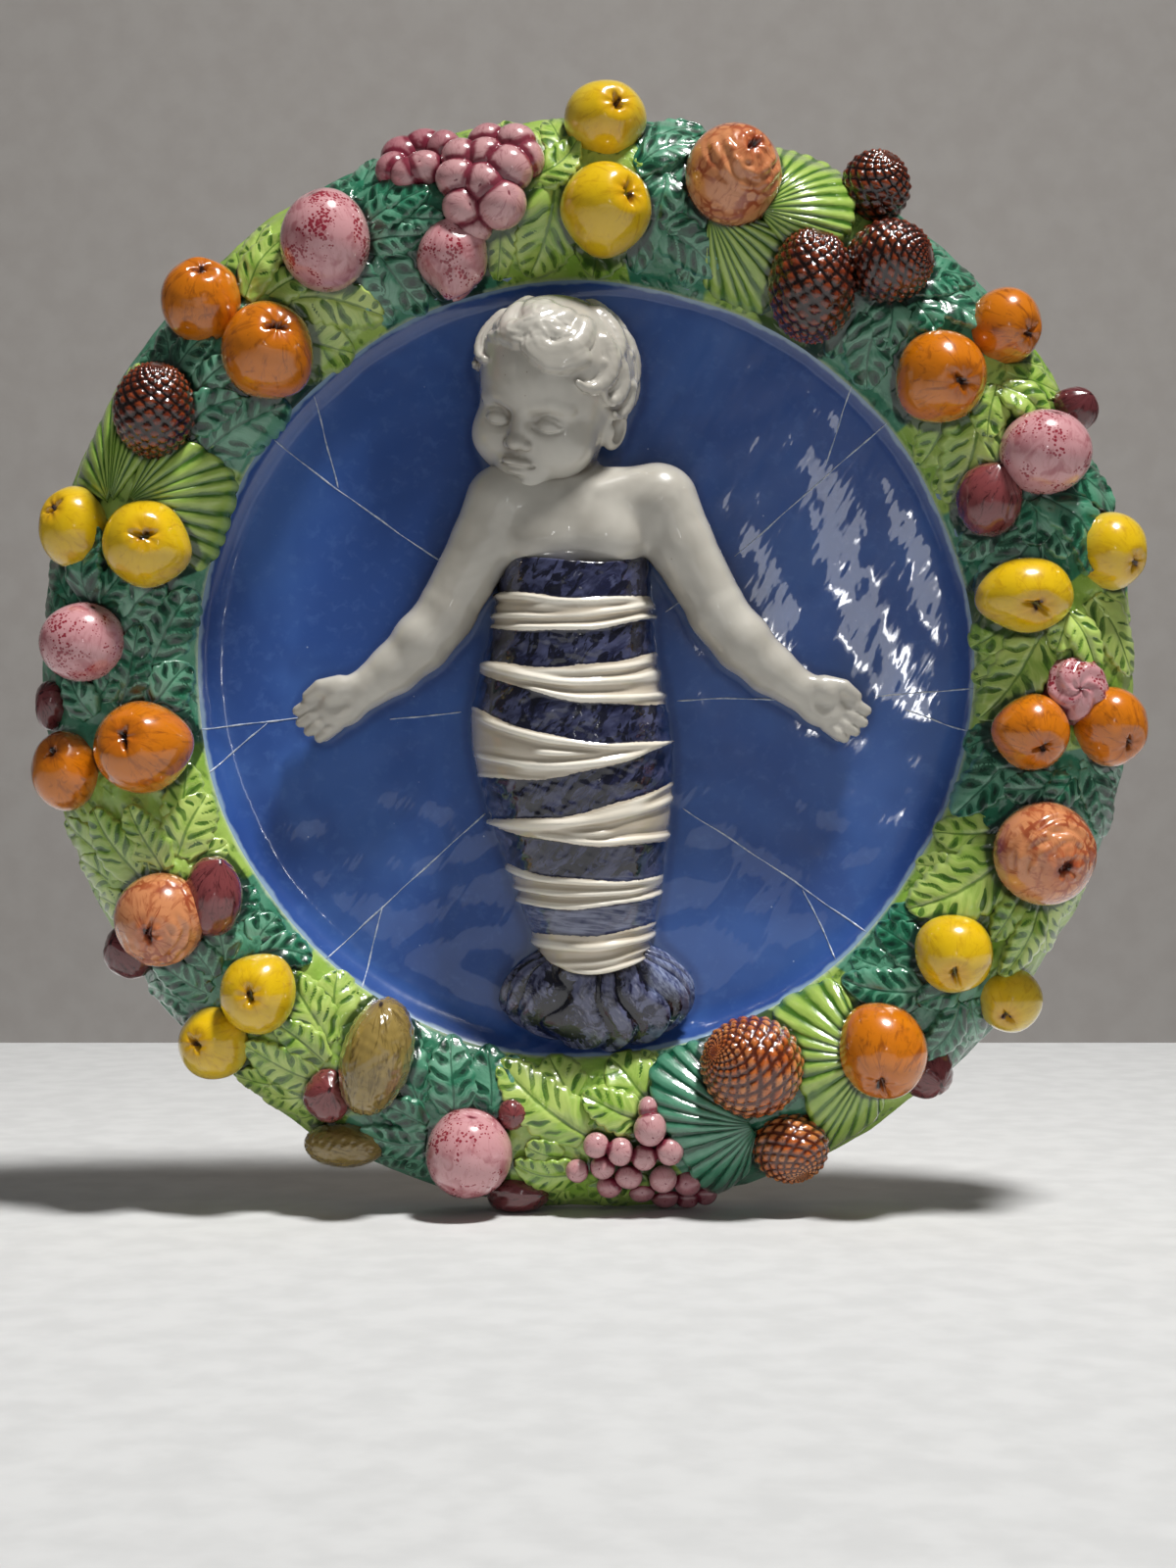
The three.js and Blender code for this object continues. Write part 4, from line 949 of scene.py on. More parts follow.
def line_distance(x, z, pts):
    """Distance to a drawn line, how far along it the nearest point is (0 to 1), and the side."""
    L = smooth_line(pts)
    best = np.full(x.shape, 1e9)
    tt, side = np.zeros(x.shape), np.zeros(x.shape)
    n = len(L) - 1
    for i in range(n):
        a, b = L[i], L[i + 1]
        ab = b - a
        t = np.clip(((x - a[0]) * ab[0] + (z - a[1]) * ab[1]) / (ab @ ab), 0, 1)
        dx, dz = x - a[0] - t * ab[0], z - a[1] - t * ab[1]
        d = np.hypot(dx, dz)
        m = d < best
        best = np.where(m, d, best)
        tt = np.where(m, (i + t) / n, tt)
        side = np.where(m, np.sign(ab[0] * dz - ab[1] * dx), side)
    return best, tt, side


# the wrap: navy bands round the trunk, each with its middle height, half width and slant
WRAP = [(33.5, 10.4, 0.02), (5.6, 6.3, 0.09), (-20.2, 6.9, -0.16), (-46.6, 7.1, 0.16), (-71.4, 6.2, -0.11), (-93.2, 5.0, 0.04)]
WRAP_SAG = 0.0042               # how the bands bow down in the middle, per mm squared
FOLDS_PER_GAP = 4               # folds in the cream cloth between two bands


def wrap_edge(x, i, side):
    """Height of a band's upper (+1) or lower (-1) edge at x."""
    mid, half, slant = WRAP[i]
    u = x + 4
    return mid + slant * u + WRAP_SAG * (u * u - 420) + side * half * (1 - 0.10 * side * np.sin(u * 0.05 + i)) + 0.35 * np.sin(u * 0.21 + 2.1 * i + side)


def make_folds():
    """Folds of the cream cloth: lines that fan between the edges of two neighbouring bands."""
    g = np.random.default_rng(17)
    out = []
    for i in range(len(WRAP)):
        last = i == len(WRAP) - 1
        for j in range(FOLDS_PER_GAP):
            f = (j + 0.55 + g.uniform(-0.12, 0.12)) / (FOLDS_PER_GAP + 0.1)
            x0 = -44 + g.uniform(0, 26) * (j % 2)
            x1 = 36 - g.uniform(0, 26) * ((j + 1) % 2)
            x = np.linspace(x0, x1, 7)
            up = wrap_edge(x, i, -1)
            low = up - 17 + 0.002 * (x + 4) ** 2 if last else wrap_edge(x, i + 1, 1)
            f0, f1 = np.clip(f + g.uniform(-0.16, 0.16, 2), 0.12, 0.90)
            w = np.linspace(f0, f1, 7)
            out.append((list(zip(x, up + (low - up) * w)), g.uniform(0.65, 1.0), g.uniform(1.35, 1.8)))
    return out


FOLDS = make_folds()


def trunk(soup):
    nz, nt = 220, 160
    z = np.linspace(36.6, -114.2, nz)
    t = np.linspace(-0.10, math.pi + 0.10, nt)
    Z, TT = np.meshgrid(z, t, indexing="ij")
    cx, w, top = trunk_at(Z)
    # the bottom hem sags, and so does the upper edge of the first band
    c, s_ = np.cos(TT), np.sin(TT)
    x = cx + w * np.sign(c) * np.abs(c) ** 0.93
    z_at = Z - (0.9 + 3.6 * sm(-Z, 92, 112)) * (np.clip((x - cx) / w, -1, 1) ** 2 - 0.45) * -1.0
    sag = 6.5 * sm(-Z, 88, 112)
    zz = Z + sag * (np.abs((x - cx) / w) ** 2) * 0.95
    tips = sm(Z, 24, 36) * (5.5 * np.abs(c) ** 4 - 0.8 * np.sin(3.1 * c + 0.4) - 0.8)
    zz = zz + tips
    h = 13.5 + (top - 13.5) * np.sign(s_) * np.abs(s_) ** 0.86
    P = np.stack([x, zz, h], -1)
    flat = P.reshape(-1, 3)
    X, Y = flat[:, 0], flat[:, 1]
    navy = np.full(X.shape, -9.0)
    for i in range(len(WRAP)):
        navy = np.maximum(navy, np.minimum(wrap_edge(X, i, 1) - Y, Y - wrap_edge(X, i, -1)))
    relief = np.zeros(X.shape)
    for pts, hh, ww in FOLDS:
        d, tt, side = line_distance(X, Y, pts)
        ends = sm(tt, 0, 0.16) * (1 - sm(tt, 0.84, 1))
        ww = 0.84 * ww
        relief += 1.35 * hh * ends * (np.exp(-(d / ww) ** 2) - 0.5 * np.exp(-((d - ww * 1.6) / (ww * 0.8)) ** 2))
    cream = 1 - sm(navy, -0.5, 0.35)
    relief = relief * cream + 0.30 * cream + 0.45 * np.exp(-((navy + 0.9) / 0.8) ** 2)
    # navy cloth: shallow creases
    relief += (1 - cream) * (0.34 * lump(X, Y, 9, 5, 3) + 0.2)
    relief += 0.12 * lump(X, Y, 22, 6, 2)
    # the upper edge and the hem are rolled over
    row = np.repeat(np.arange(nz), nt)
    relief -= 1.5 * (1 - np.sqrt(np.clip(1 - np.clip(1 - row / 2.4, 0, 1) ** 2, 0, 1)))
    relief -= 3.2 * (1 - np.sqrt(np.clip(1 - np.clip(1 - (nz - 1 - row) / 3.5, 0, 1) ** 2, 0, 1)))
    Q = grid_faces(nz, nt)
    N = normals_of(flat, Q)
    if (N[:, 2] * np.sin(TT).ravel()).sum() < 0:
        N = -N
    V = flat + N * relief[:, None]
    ring = margin_and_base(nz, nt)
    n, m = len(V), len(ring)
    k = np.arange(m)
    inner = V[ring].copy()
    mid = np.array([[-2.0, -40.0, 16.0]])
    inner = mid + (inner - mid) * np.array([0.86, 0.955, 0.8])
    inner[:, 2] = np.minimum(inner[:, 2], 40)
    walls = np.stack([ring, ring[(k + 1) % m], n + (k + 1) % m, n + k], 1)
    fan = np.stack([n + k, n + (k + 1) % m, np.full(m, n + m)], 1)
    ext = lambda a: np.concatenate([a, a[ring], [a[0]]])
    soup.add(np.concatenate([V, inner, mid]), np.concatenate([Q, walls]), fan,
             navy=ext(navy), relief=ext(relief))


def ruffle(soup):
    g = np.random.default_rng(5)
    def folds(T, P):
        return 15 * P + 2.6 * np.sin(2 * P + 0.6) + 1.6 * np.sin(5 * P + 1) + 1.6 * np.sin(T * 2.6 + 1.2 * np.sin(2 * P)) + 0.8 * np.sin(T * 5 + 3 * P)

    def shape(T, P, g_):
        k = folds(T, P)
        f = np.abs(np.sin(k / 2)) ** 0.7
        e = sm(T, 0.15, 0.6)
        return 1 - 0.02 + e * (0.13 * (f - 0.55) + 0.02 * np.cos(2 * k + 3 * T) + 0.035 * np.sin(3 * P + 1 + 2 * T))
    shell(soup, (4.2, -121.5, 21.0), (34.4, 20.4, 14.6), (0.0, 0.86), 210, 82, shape, 51,
          cell=lambda T, P: np.abs(np.sin(folds(T, P) / 2)) ** 0.7)


# ------------------------------------------------------------------ dish, garland ground, back
EDGE = (-1.3, -2.2, 142.4)      # the blue's edge: middle and radius


def edge_radius(ph):
    """Radius from the plaque's centre to the blue's edge, by angle (0 is right)."""
    c, s_ = np.cos(ph), np.sin(ph)
    b = c * EDGE[0] + s_ * EDGE[1]
    wob = 0.5 * np.sin(3 * ph + 1) + 0.35 * np.sin(7 * ph + 2) + 0.2 * np.sin(13 * ph)
    return b + np.sqrt(b * b - EDGE[0] ** 2 - EDGE[1] ** 2 + EDGE[2] ** 2) + wob


def dish(soup):
    nr, nphi = 78, 264
    ph = TAU * np.arange(nphi) / nphi
    u = 1 - (1 - (np.arange(nr) + 1.0) / nr) ** 1.35
    U, PH = np.meshgrid(u, ph, indexing="ij")
    R = U * (edge_radius(PH) + 3.0)
    x, z = R * np.cos(PH), R * np.sin(PH)
    wavy = 0.12 * lump(x, z, 38, 11, 2) + 0.02 * lump(x, z * 0.4, 9, 12, 2)
    h = G(R) + wavy * (1 - sm(R, 132, 141))
    V = np.stack([x, z, h], -1).reshape(-1, 3)
    V = np.concatenate([V, [[0, 0, float(G(0.0))]]])
    Q = grid_faces(nr, nphi, wrap_v=True)[:, ::-1]
    k = np.arange(nphi)
    c = nr * nphi
    T = np.stack([np.full(nphi, c), k, (k + 1) % nphi], 1)
    ring = (nr - 1) * nphi + k
    low = V[ring].copy()
    low[:, 2] = 9.0
    n = len(V)
    walls = np.stack([ring, (nr - 1) * nphi + (k + 1) % nphi, n + (k + 1) % nphi, n + k], 1)
    V = np.concatenate([V, low, [[0, 0, 9.0]]])
    T2 = np.stack([np.full(nphi, len(V) - 1), n + (k + 1) % nphi, n + k], 1)
    rim = np.concatenate([(edge_radius(PH) - R).ravel(), [140], edge_radius(ph) * 0 - 3, [100]])
    soup.add(V, np.concatenate([Q, walls]), np.concatenate([T, T2])[:, ::-1], inset=rim)


def rim_radius(clock):
    """The garland ground's outer edge, which the leaf tips scallop."""
    a = clock * DEG
    return 200.6 + 0.7 * np.sin(19 * a + 1) + 0.5 * np.sin(31 * a + 2) + 0.35 * np.sin(47 * a)


def zone_distance(clock, r):
    """Distance in mm to the nearest colour change round the ring: above 0 in yellow-green."""
    c = clock + 1.1 * np.sin(r * 0.16 + clock * 0.2) + 0.5 * np.sin(r * 0.43 + 1.3 * clock)
    best = np.full(np.shape(c), -999.0)
    for a, b, tone in ZONES:
        if tone:
            m = (a + b) / 2
            d = (b - a) / 2 - np.abs((c - m + 180) % 360 - 180)
            best = np.maximum(best, d)
    return best * DEG * r


def garland_ground(soup):
    nr, nphi = 60, 600
    ph = TAU * np.arange(nphi) / nphi
    u = np.arange(nr) / (nr - 1.0)
    U, PH = np.meshgrid(u, ph, indexing="ij")
    clock = (90 - PH / DEG) % 360
    R0, R1 = edge_radius(PH) - 0.2, rim_radius(clock)
    R = R0 + (R1 - R0) * U
    x, z = R * np.cos(PH), R * np.sin(PH)
    arc = clock * DEG * 172
    pleat = lump(x, z, 15, 21, 2) * 0.7 + 0.35 * lump(arc * 0.5 + R, R - arc * 0.5, 5.5, 22, 2)
    h = G(R) + 0.55 + pleat * sm(U, 0.0, 0.07) - 1.1 * (1 - np.sqrt(np.clip(1 - np.clip(1 - U / 0.02, 0, 1) ** 2, 0, 1)))
    rows = [np.stack([x, z, h], -1)]
    # round the rim, down to the bare back, then the underside inwards
    def ring(r, hh):
        return np.stack([r * np.cos(ph), r * np.sin(ph), np.broadcast_to(hh, ph.shape)], -1)[None]
    Rr = R1[-1]
    h1 = h[-1]
    for k_, (dr, dh) in enumerate(((0.9, -0.9), (1.3, -2.4), (1.1, -4.2), (0.4, -6.4), (-0.8, -8.2), (-2.6, -9.6), (-4.2, -10.4))):
        rows.append(ring(Rr + dr, np.maximum(h1 + dh, 5.6 - 0.16 * k_)))
    rows.append(ring(Rr - 10, 6.5))
    rows.append(ring(edge_radius(ph) + 4, 10.5))
    rows.append(ring(edge_radius(ph) - 0.2, 14.0))
    P = np.concatenate(rows)
    n0 = P.shape[0]
    V = P.reshape(-1, 3)
    Q = grid_faces(n0, nphi, wrap_u=True, wrap_v=True)
    rr = np.hypot(V[:, 0], V[:, 1])
    cl = (90 - np.degrees(np.arctan2(V[:, 1], V[:, 0]))) % 360
    edge_in = rr - edge_radius(np.arctan2(V[:, 1], V[:, 0]))
    soup.add(V, Q, zone=zone_distance(cl, rr), inset=edge_in,
             polar=np.stack([cl * DEG * 172, rr, np.zeros(len(V))], 1))


WIRE_HOLES = [76.0, 104.0]      # degrees round the back, either side of the top


def back(soup):
    """The bare back: a shallow hollow, a foot ring pierced for the hanging wire, and the turned-under rim."""
    ph = TAU * np.arange(280) / 280
    near = [a * DEG + np.arange(-9, 10) * 0.0019 for a in WIRE_HOLES]
    keep = np.ones(len(ph), bool)
    for a in near:
        keep &= (ph < a[0] - 0.004) | (ph > a[-1] + 0.004)
    ph = np.sort(np.concatenate([ph[keep]] + near))
    nphi = len(ph)
    steps = [3.7, 3.35, 3.0, 2.6, 2.2, 1.8, 1.4, 1.05, 0.7, 0.4]
    prof = [(r, 4.0) for r in np.arange(6, 142, 6.0)] + [(143.6, 3.95)] + [(144.4 + 0.25 * i * i / 81, h) for i, h in enumerate(steps)] + \
        [(145.4, 0.1), (147, 0.0), (151, 0.0), (155, 0.0), (156.6, 0.1)] + [(157.4 - 0.25 * i * i / 81, h) for i, h in enumerate(steps)][::-1] + \
        [(158.2, 3.95), (166, 4.0), (174, 4.0), (182, 4.05), (189, 4.3), (193.5, 5.0), (196.8, 6.6), (198.6, 9.0), (198.4, 11.5), (194, 12.2), (150, 12.0), (80, 9.0)]
    R = np.array([p[0] for p in prof])
    H = np.array([p[1] for p in prof])
    RR, PH = np.meshgrid(R, ph, indexing="ij")
    HH = np.broadcast_to(H[:, None], RR.shape).copy()
    for a in WIRE_HOLES:
        d = np.hypot((PH - a * DEG) * RR, HH - 2.1)
        wall = ((RR > 144.2) & (RR < 145.0)) | ((RR > 156.9) & (RR < 157.5))
        inward = np.where(RR < 150, 5.2, -5.2)
        RR = RR + np.where(wall & (np.arange(len(R)) < len(R) - 5)[:, None], inward * (1 - sm(d, 0.85, 1.25)), 0)
    x, z = RR * np.cos(PH), RR * np.sin(PH)
    rough = 0.13 * lump(x, z, 46, 31, 2) + 0.07 * lump(x, z, 9, 32, 3)
    flat = (np.arange(len(R)) < len(R) - 5)[:, None] & ((RR < 143) | (RR > 159)) & (RR < 194)
    HH = HH + np.where(flat, rough, 0)
    V = np.concatenate([np.stack([x, z, HH], -1).reshape(-1, 3), [[0, 0, 4.0], [0, 0, 9.0]]])
    n = len(R) * nphi
    k = np.arange(nphi)
    T = np.concatenate([np.stack([np.full(nphi, n), (k + 1) % nphi, k], 1),
                        np.stack([np.full(nphi, n + 1), (len(R) - 1) * nphi + k, (len(R) - 1) * nphi + (k + 1) % nphi], 1)])
    soup.add(V, grid_faces(len(R), nphi, wrap_v=True), T[:, ::-1])


def ribbon(soup, p, q, seed, width=0.62):
    """A fine scratched line in the blue glaze, showing the pale body."""
    g = np.random.default_rng(seed)
    p, q = np.array(p, float), np.array(q, float)
    L = float(np.hypot(*(q - p)))
    n = max(6, int(L / 1.6))
    t = np.linspace(0, 1, n)
    d = (q - p) / L
    nn = np.array([-d[1], d[0]])
    off = g.normal(0, 0.12, n).cumsum()
    off -= off[0] + (off[-1] - off[0]) * t
    off = np.convolve(np.pad(off, 2, mode="edge"), np.ones(5) / 5, mode="valid") + 0.012 * L * g.uniform(-1, 1) * np.sin(math.pi * t)
    half = width / 2 * (0.75 + 0.25 * np.sin(t * 19 + seed)) * np.minimum(1, np.minimum(t, 1 - t) * L / 1.2 + 0.35)
    rows = []
    for k_, dh in ((-1, -0.25), (-1, 0.10), (0, 0.15), (1, 0.10), (1, -0.25)):
        x = p[0] + d[0] * L * t + nn[0] * (off + k_ * half)
        z = p[1] + d[1] * L * t + nn[1] * (off + k_ * half)
        hh = G(np.hypot(x, z)) + 0.12 * lump(x, z, 38, 11, 2) * (1 - sm(np.hypot(x, z), 132, 141)) + 0.04 + dh
        rows.append(np.stack([x, z, hh], -1))
    P = np.stack(rows, 1)
    V = P.reshape(-1, 3)
    Q = grid_faces(n, 5, wrap_v=True)
    e0, e1 = np.arange(5), (n - 1) * 5 + np.arange(5)
    T = np.array([[0, 2, 1], [0, 3, 2], [0, 4, 3]])
    T = np.concatenate([T[:, ::-1], T + (n - 1) * 5])
    soup.add(V, Q, T)


# ------------------------------------------------------------------ make everything
SOUPS = {k: Soup() for k in ("dish", "ground", "back", "leaves_light", "leaves_dark", "husk_light", "husk_dark",
                             "quince", "orange", "pomegranate", "speckled", "nut", "long", "cone", "painted_cone",
                             "grapes", "head", "body", "trunk", "ruffle", "lines")}
dish(SOUPS["dish"])
garland_ground(SOUPS["ground"])
back(SOUPS["back"])
for i, row in enumerate(YELLOW_GREEN):
    leaf(SOUPS["leaves_light"], row, 100 + i, 0.0)
for i, row in enumerate(BLUE_GREEN):
    leaf(SOUPS["leaves_dark"], row, 300 + i, 1.0)
for i, row in enumerate(HUSKS):
    husk(SOUPS["husk_light" if row[0] else "husk_dark"], row, 500 + i)
for i, row in enumerate(FRUIT):
    fruit(row[0], 600 + i, SOUPS, row)
for i, row in enumerate(GRAPES):
    grape(SOUPS["grapes"], i, row)
trunk(SOUPS["trunk"])
ruffle(SOUPS["ruffle"])

# pooled glaze and painted shade where one grape meets the next
_n = SOUPS["grapes"].v[0].shape[0]
_V = np.concatenate(SOUPS["grapes"].v)
_own = np.arange(len(_V)) // _n
_near = np.zeros(len(_V))
for _j, _P in enumerate(SOUPS["grapes"].v):
    _c, _r = (_P.max(0) + _P.min(0)) / 2, (_P.max(0) - _P.min(0)) / 2
    _d = (np.sqrt((((_V - _c) / _r) ** 2).sum(1)) - 1) * _r.mean()
    _near = np.maximum(_near, np.where(_own == _j, 0, np.exp(-(np.maximum(_d, 0) / 2.0) ** 2)))
SOUPS["grapes"].a["cell"] = [_near]

HEAD_STEP = 0.64
BODY_STEP = 1.08
V, Q = skin_of(head_field, HEAD - [38, 50, 26], HEAD + [38, 42, 34], HEAD_STEP)
V = head_detail(V, normals_of(V, Q))
SOUPS["head"].add(V, Q)
V, Q = skin_of(body_field, (-108, -44, 9), (110, 88, 62), BODY_STEP)
SOUPS["body"].add(V, Q)

for i, (p, q) in enumerate((((-115.5, 81.7), (-54.3, 37.5)), ((-101.0, 98.0), (-92.4, 64.6)), ((54.3, 39.3), (110.4, 88.2)),
                            ((97.4, 102.3), (88.0, 73.0)), ((28.6, 18.7), (34.4, 23.0)), ((-143.0, -25.1), (-105.0, -20.4)),
                            ((-73.5, -21.1), (-47.0, -18.2)), ((-118.7, -22.6), (-139.3, -41.4)), ((105.7, -12.8), (141.9, -9.9)),
                            ((117.3, -17.5), (140.1, -25.5)), ((33.0, -14.2), (75.3, -14.2)), ((-38.0, -55.9), (-95.9, -109.1)),
                            ((-76.0, -90.2), (-82.9, -120.3)), ((35.1, -54.0), (102.1, -99.3)), ((79.3, -84.1), (90.9, -109.4)))):
    ribbon(SOUPS["lines"], p, q, 40 + i)

# Height of everything over the face, for the darkening in hollows, which is partly pooled glaze and partly painted
# shade.
N = 440
top = np.full((N, N), 6.0)
for k, sp in SOUPS.items():
    if k == "back":
        continue
    V = sp.arrays()[0]
    ix = np.clip((V[:, 0] + N / 2).astype(int), 0, N - 1)
    iz = np.clip((V[:, 1] + N / 2).astype(int), 0, N - 1)
    np.maximum.at(top, (ix, iz), V[:, 2])


def blur(A, sigma):
    k_ = np.exp(-0.5 * (np.arange(-int(3 * sigma), int(3 * sigma) + 1) / sigma) ** 2)
    k_ /= k_.sum()
    for ax in (0, 1):
        A = np.apply_along_axis(lambda v: np.convolve(np.pad(v, len(k_) // 2, mode="edge"), k_, mode="valid"), ax, A)
    return A


SMALL, LARGE = blur(top, 1.6), blur(top, 5.0)


def sample(A, V):
    fx, fz = np.clip(V[:, 0] + N / 2 - 0.5, 0, N - 2), np.clip(V[:, 1] + N / 2 - 0.5, 0, N - 2)
    i, j = fx.astype(int), fz.astype(int)
    a, b = fx - i, fz - j
    return A[i, j] * (1 - a) * (1 - b) + A[i + 1, j] * a * (1 - b) + A[i, j + 1] * (1 - a) * b + A[i + 1, j + 1] * a * b


# how deep a point lies under its neighbours: the glazes darken with it, partly as pooled glaze and partly as painted
# shade
def hollow(V):
    s1 = np.clip((sample(SMALL, V) - V[:, 2] - 0.3) / 3.5, 0, 1)
    s2 = np.clip((sample(LARGE, V) - V[:, 2] - 0.5) / 9.0, 0, 1)
    out = np.clip(0.6 * s1 + 0.75 * s2, 0, 1)
    return out * (1 - 0.8 * sm(np.hypot(V[:, 0], V[:, 1]), 197, 203))


# where the figure stands, blurred: it gives the blue a painted shade round the figure
figure = np.zeros((N, N))
for k in ("head", "body", "trunk", "ruffle"):
    V = SOUPS[k].arrays()[0]
    V = V[V[:, 2] > 14.5]
    figure[np.clip((V[:, 0] + N / 2).astype(int), 0, N - 1), np.clip((V[:, 1] + N / 2).astype(int), 0, N - 1)] = 1
figure = np.clip(blur(figure, 1.2) * 2.2, 0, 1)
NEAR_FIGURE = blur(figure, 2.6)


# ------------------------------------------------------------------ glazes
class Mat:
    def __init__(self, name):
        self.m = bpy.data.materials.new(name)
        self.m.use_nodes = True
        self.t = self.m.node_tree
        self.t.nodes.clear()
        self.out = self.t.nodes.new("ShaderNodeOutputMaterial")
        self.b = self.t.nodes.new("ShaderNodeBsdfPrincipled")
        self.t.links.new(self.b.outputs[0], self.out.inputs[0])

    def put(self, sock, v):
        if hasattr(v, "is_output"):
            self.t.links.new(v, sock)
        elif isinstance(v, (tuple, list)) and len(v) == 3 and sock.type == "RGBA":
            sock.default_value = (*v, 1.0)
        else:
            sock.default_value = v

    def set(self, **kw):
        for k, v in kw.items():
            self.put(self.b.inputs[k.replace("_", " ")], v)

    def math(self, op, a, b=0.0, c=None, clamp=False):
        n = self.t.nodes.new("ShaderNodeMath")
        n.operation, n.use_clamp = op, clamp
        self.put(n.inputs[0], a)
        self.put(n.inputs[1], b)
        if c is not None:
            self.put(n.inputs[2], c)
        return n.outputs[0]

    def mix(self, f, a, b, blend="MIX"):
        n = self.t.nodes.new("ShaderNodeMix")
        n.data_type, n.blend_type = "RGBA", blend
        self.put(n.inputs[0], f)
        self.put(n.inputs[6], a)
        self.put(n.inputs[7], b)
        return n.outputs[2]

    def rng(self, v, a, b, c=0.0, d=1.0):
        n = self.t.nodes.new("ShaderNodeMapRange")
        n.interpolation_type = "SMOOTHSTEP"
        for i, x in enumerate((v, a, b, c, d)):
            self.put(n.inputs[i], x)
        return n.outputs[0]

    def attr(self, name):
        n = self.t.nodes.new("ShaderNodeAttribute")
        n.attribute_name = name
        return n

    def val(self, name):
        return self.attr(name).outputs["Fac"]

    def vec3(self, name):
        n = self.t.nodes.new("ShaderNodeSeparateXYZ")
        self.t.links.new(self.attr(name).outputs["Vector"], n.inputs[0])
        return n.outputs[0], n.outputs[1], n.outputs[2]

    def comb(self, x, y, z):
        n = self.t.nodes.new("ShaderNodeCombineXYZ")
        for i, v in enumerate((x, y, z)):
            self.put(n.inputs[i], v)
        return n.outputs[0]

    def here(self, sx=1000.0, sy=1000.0, sz=1000.0, rot=(0, 0, 0)):
        c = self.t.nodes.new("ShaderNodeTexCoord")
        n = self.t.nodes.new("ShaderNodeMapping")
        self.t.links.new(c.outputs["Object"], n.inputs[0])
        if any(rot):            # turned first, then stretched
            n.vector_type = "TEXTURE"
            sx, sy, sz = 1 / sx, 1 / sy, 1 / sz
        n.inputs["Scale"].default_value = (sx, sy, sz)
        n.inputs["Rotation"].default_value = rot
        return n.outputs[0]

    def noise(self, vec, scale, detail=2.0, rough=0.5, warp=0.0):
        n = self.t.nodes.new("ShaderNodeTexNoise")
        self.t.links.new(vec, n.inputs["Vector"])
        n.inputs["Scale"].default_value = scale
        n.inputs["Detail"].default_value = detail
        n.inputs["Roughness"].default_value = rough
        n.inputs["Distortion"].default_value = warp
        return n.outputs[0]

    def voronoi(self, vec, scale, rand=1.0, feature="F1"):
        n = self.t.nodes.new("ShaderNodeTexVoronoi")
        n.feature = feature
        self.t.links.new(vec, n.inputs["Vector"])
        n.inputs["Scale"].default_value = scale
        n.inputs["Randomness"].default_value = rand
        return n.outputs[0]

    def bump(self, height, dist, strength=1.0, normal=None):
        n = self.t.nodes.new("ShaderNodeBump")
        n.inputs["Strength"].default_value = strength
        n.inputs["Distance"].default_value = dist
        self.put(n.inputs["Height"], height)
        if normal is not None:
            self.t.links.new(normal, n.inputs["Normal"])
        return n.outputs[0]

    def glaze(self, color, height=None, dist=0.0003, rough=0.30, coat=1.0, coat_rough=0.05):
        self.put(self.b.inputs["Base Color"], color)
        self.b.inputs["Roughness"].default_value = rough
        self.b.inputs["Coat Weight"].default_value = coat
        self.b.inputs["Coat Roughness"].default_value = coat_rough
        self.b.inputs["Coat IOR"].default_value = 1.5
        self.b.inputs["IOR"].default_value = 1.45
        if height is not None:
            nrm = self.bump(height, dist)
            self.t.links.new(nrm, self.b.inputs["Normal"])
            self.t.links.new(nrm, self.b.inputs["Coat Normal"])
        return self.m


def blue_glaze():
    k = Mat("blue_glaze")
    p = k.here()
    big = k.noise(p, 0.018, 3, 0.55, 0.6)
    small = k.noise(p, 0.22, 3, 0.6, 0.3)
    c = k.mix(k.rng(big, 0.35, 0.65), srgb(48, 82, 152), srgb(62, 100, 172))
    c = k.mix(k.rng(small, 0.5, 0.75, 0, 0.30), c, srgb(86, 122, 188))
    # painted shade: the blue darkens in a band round the figure, and is paler right at its edge
    near = k.val("near")
    c = k.mix(k.rng(near, 0.10, 0.45, 0, 0.42), c, srgb(36, 58, 118))
    c = k.mix(k.rng(near, 0.50, 0.80, 0, 0.55), c, srgb(92, 118, 170))
    inset = k.val("inset")
    # painted shade: the blue darkens along the garland's foot
    c = k.mix(k.rng(inset, 9.0, 0.5, 0, 0.45), c, srgb(34, 58, 122))
    wob = k.math("ADD", inset, k.math("MULTIPLY", k.math("SUBTRACT", k.noise(p, 0.12, 2), 0.5), 2.4))
    c = k.mix(k.rng(wob, 1.3, 0.2, 0, 0.8), c, srgb(150, 176, 196))
    pits = k.voronoi(p, 0.085)
    c = k.mix(k.rng(pits, 0.035, 0.015, 0, 0.75), c, srgb(170, 190, 220))
    brushed = k.noise(k.here(1000, 400, 240, (0, 0.55, 0)), 0.15, 2, 0.5)
    h = k.math("ADD", k.math("MULTIPLY", k.noise(k.here(1000, 1000, 500), 0.08, 2, 0.5, 0.4), 0.45), k.math("MULTIPLY", brushed, 0.55))
    return k.glaze(c, h, 0.00016, rough=0.24, coat_rough=0.03)


def green_strokes(k, p, tone):
    """Brush strokes crossing like herringbone, for ground that no leaf covers."""
    w = k.noise(p, 0.05, 2)
    out = None
    for ang in (0.7, -0.75):
        q = k.here(1000 * 0.75, 1000 * 0.3, 1000 * 0.22, (0, ang, 0))
        v = k.voronoi(q, 0.42)
        st = k.rng(k.math("ADD", v, k.math("MULTIPLY", k.noise(p, 0.5, 2), 0.25)), 0.56, 0.36)
        side = k.rng(w, 0.46, 0.54) if ang > 0 else k.rng(w, 0.54, 0.46)
        st = k.math("MULTIPLY", st, side)
        out = st if out is None else k.math("MAXIMUM", out, st)
    return out


LIGHT = dict(pale=srgb(186, 208, 112), mid=srgb(132, 172, 62), dark=srgb(62, 106, 26), deep=srgb(34, 62, 18))
DARK = dict(pale=srgb(112, 168, 140), mid=srgb(40, 116, 86), dark=srgb(8, 70, 46), deep=srgb(6, 36, 28))


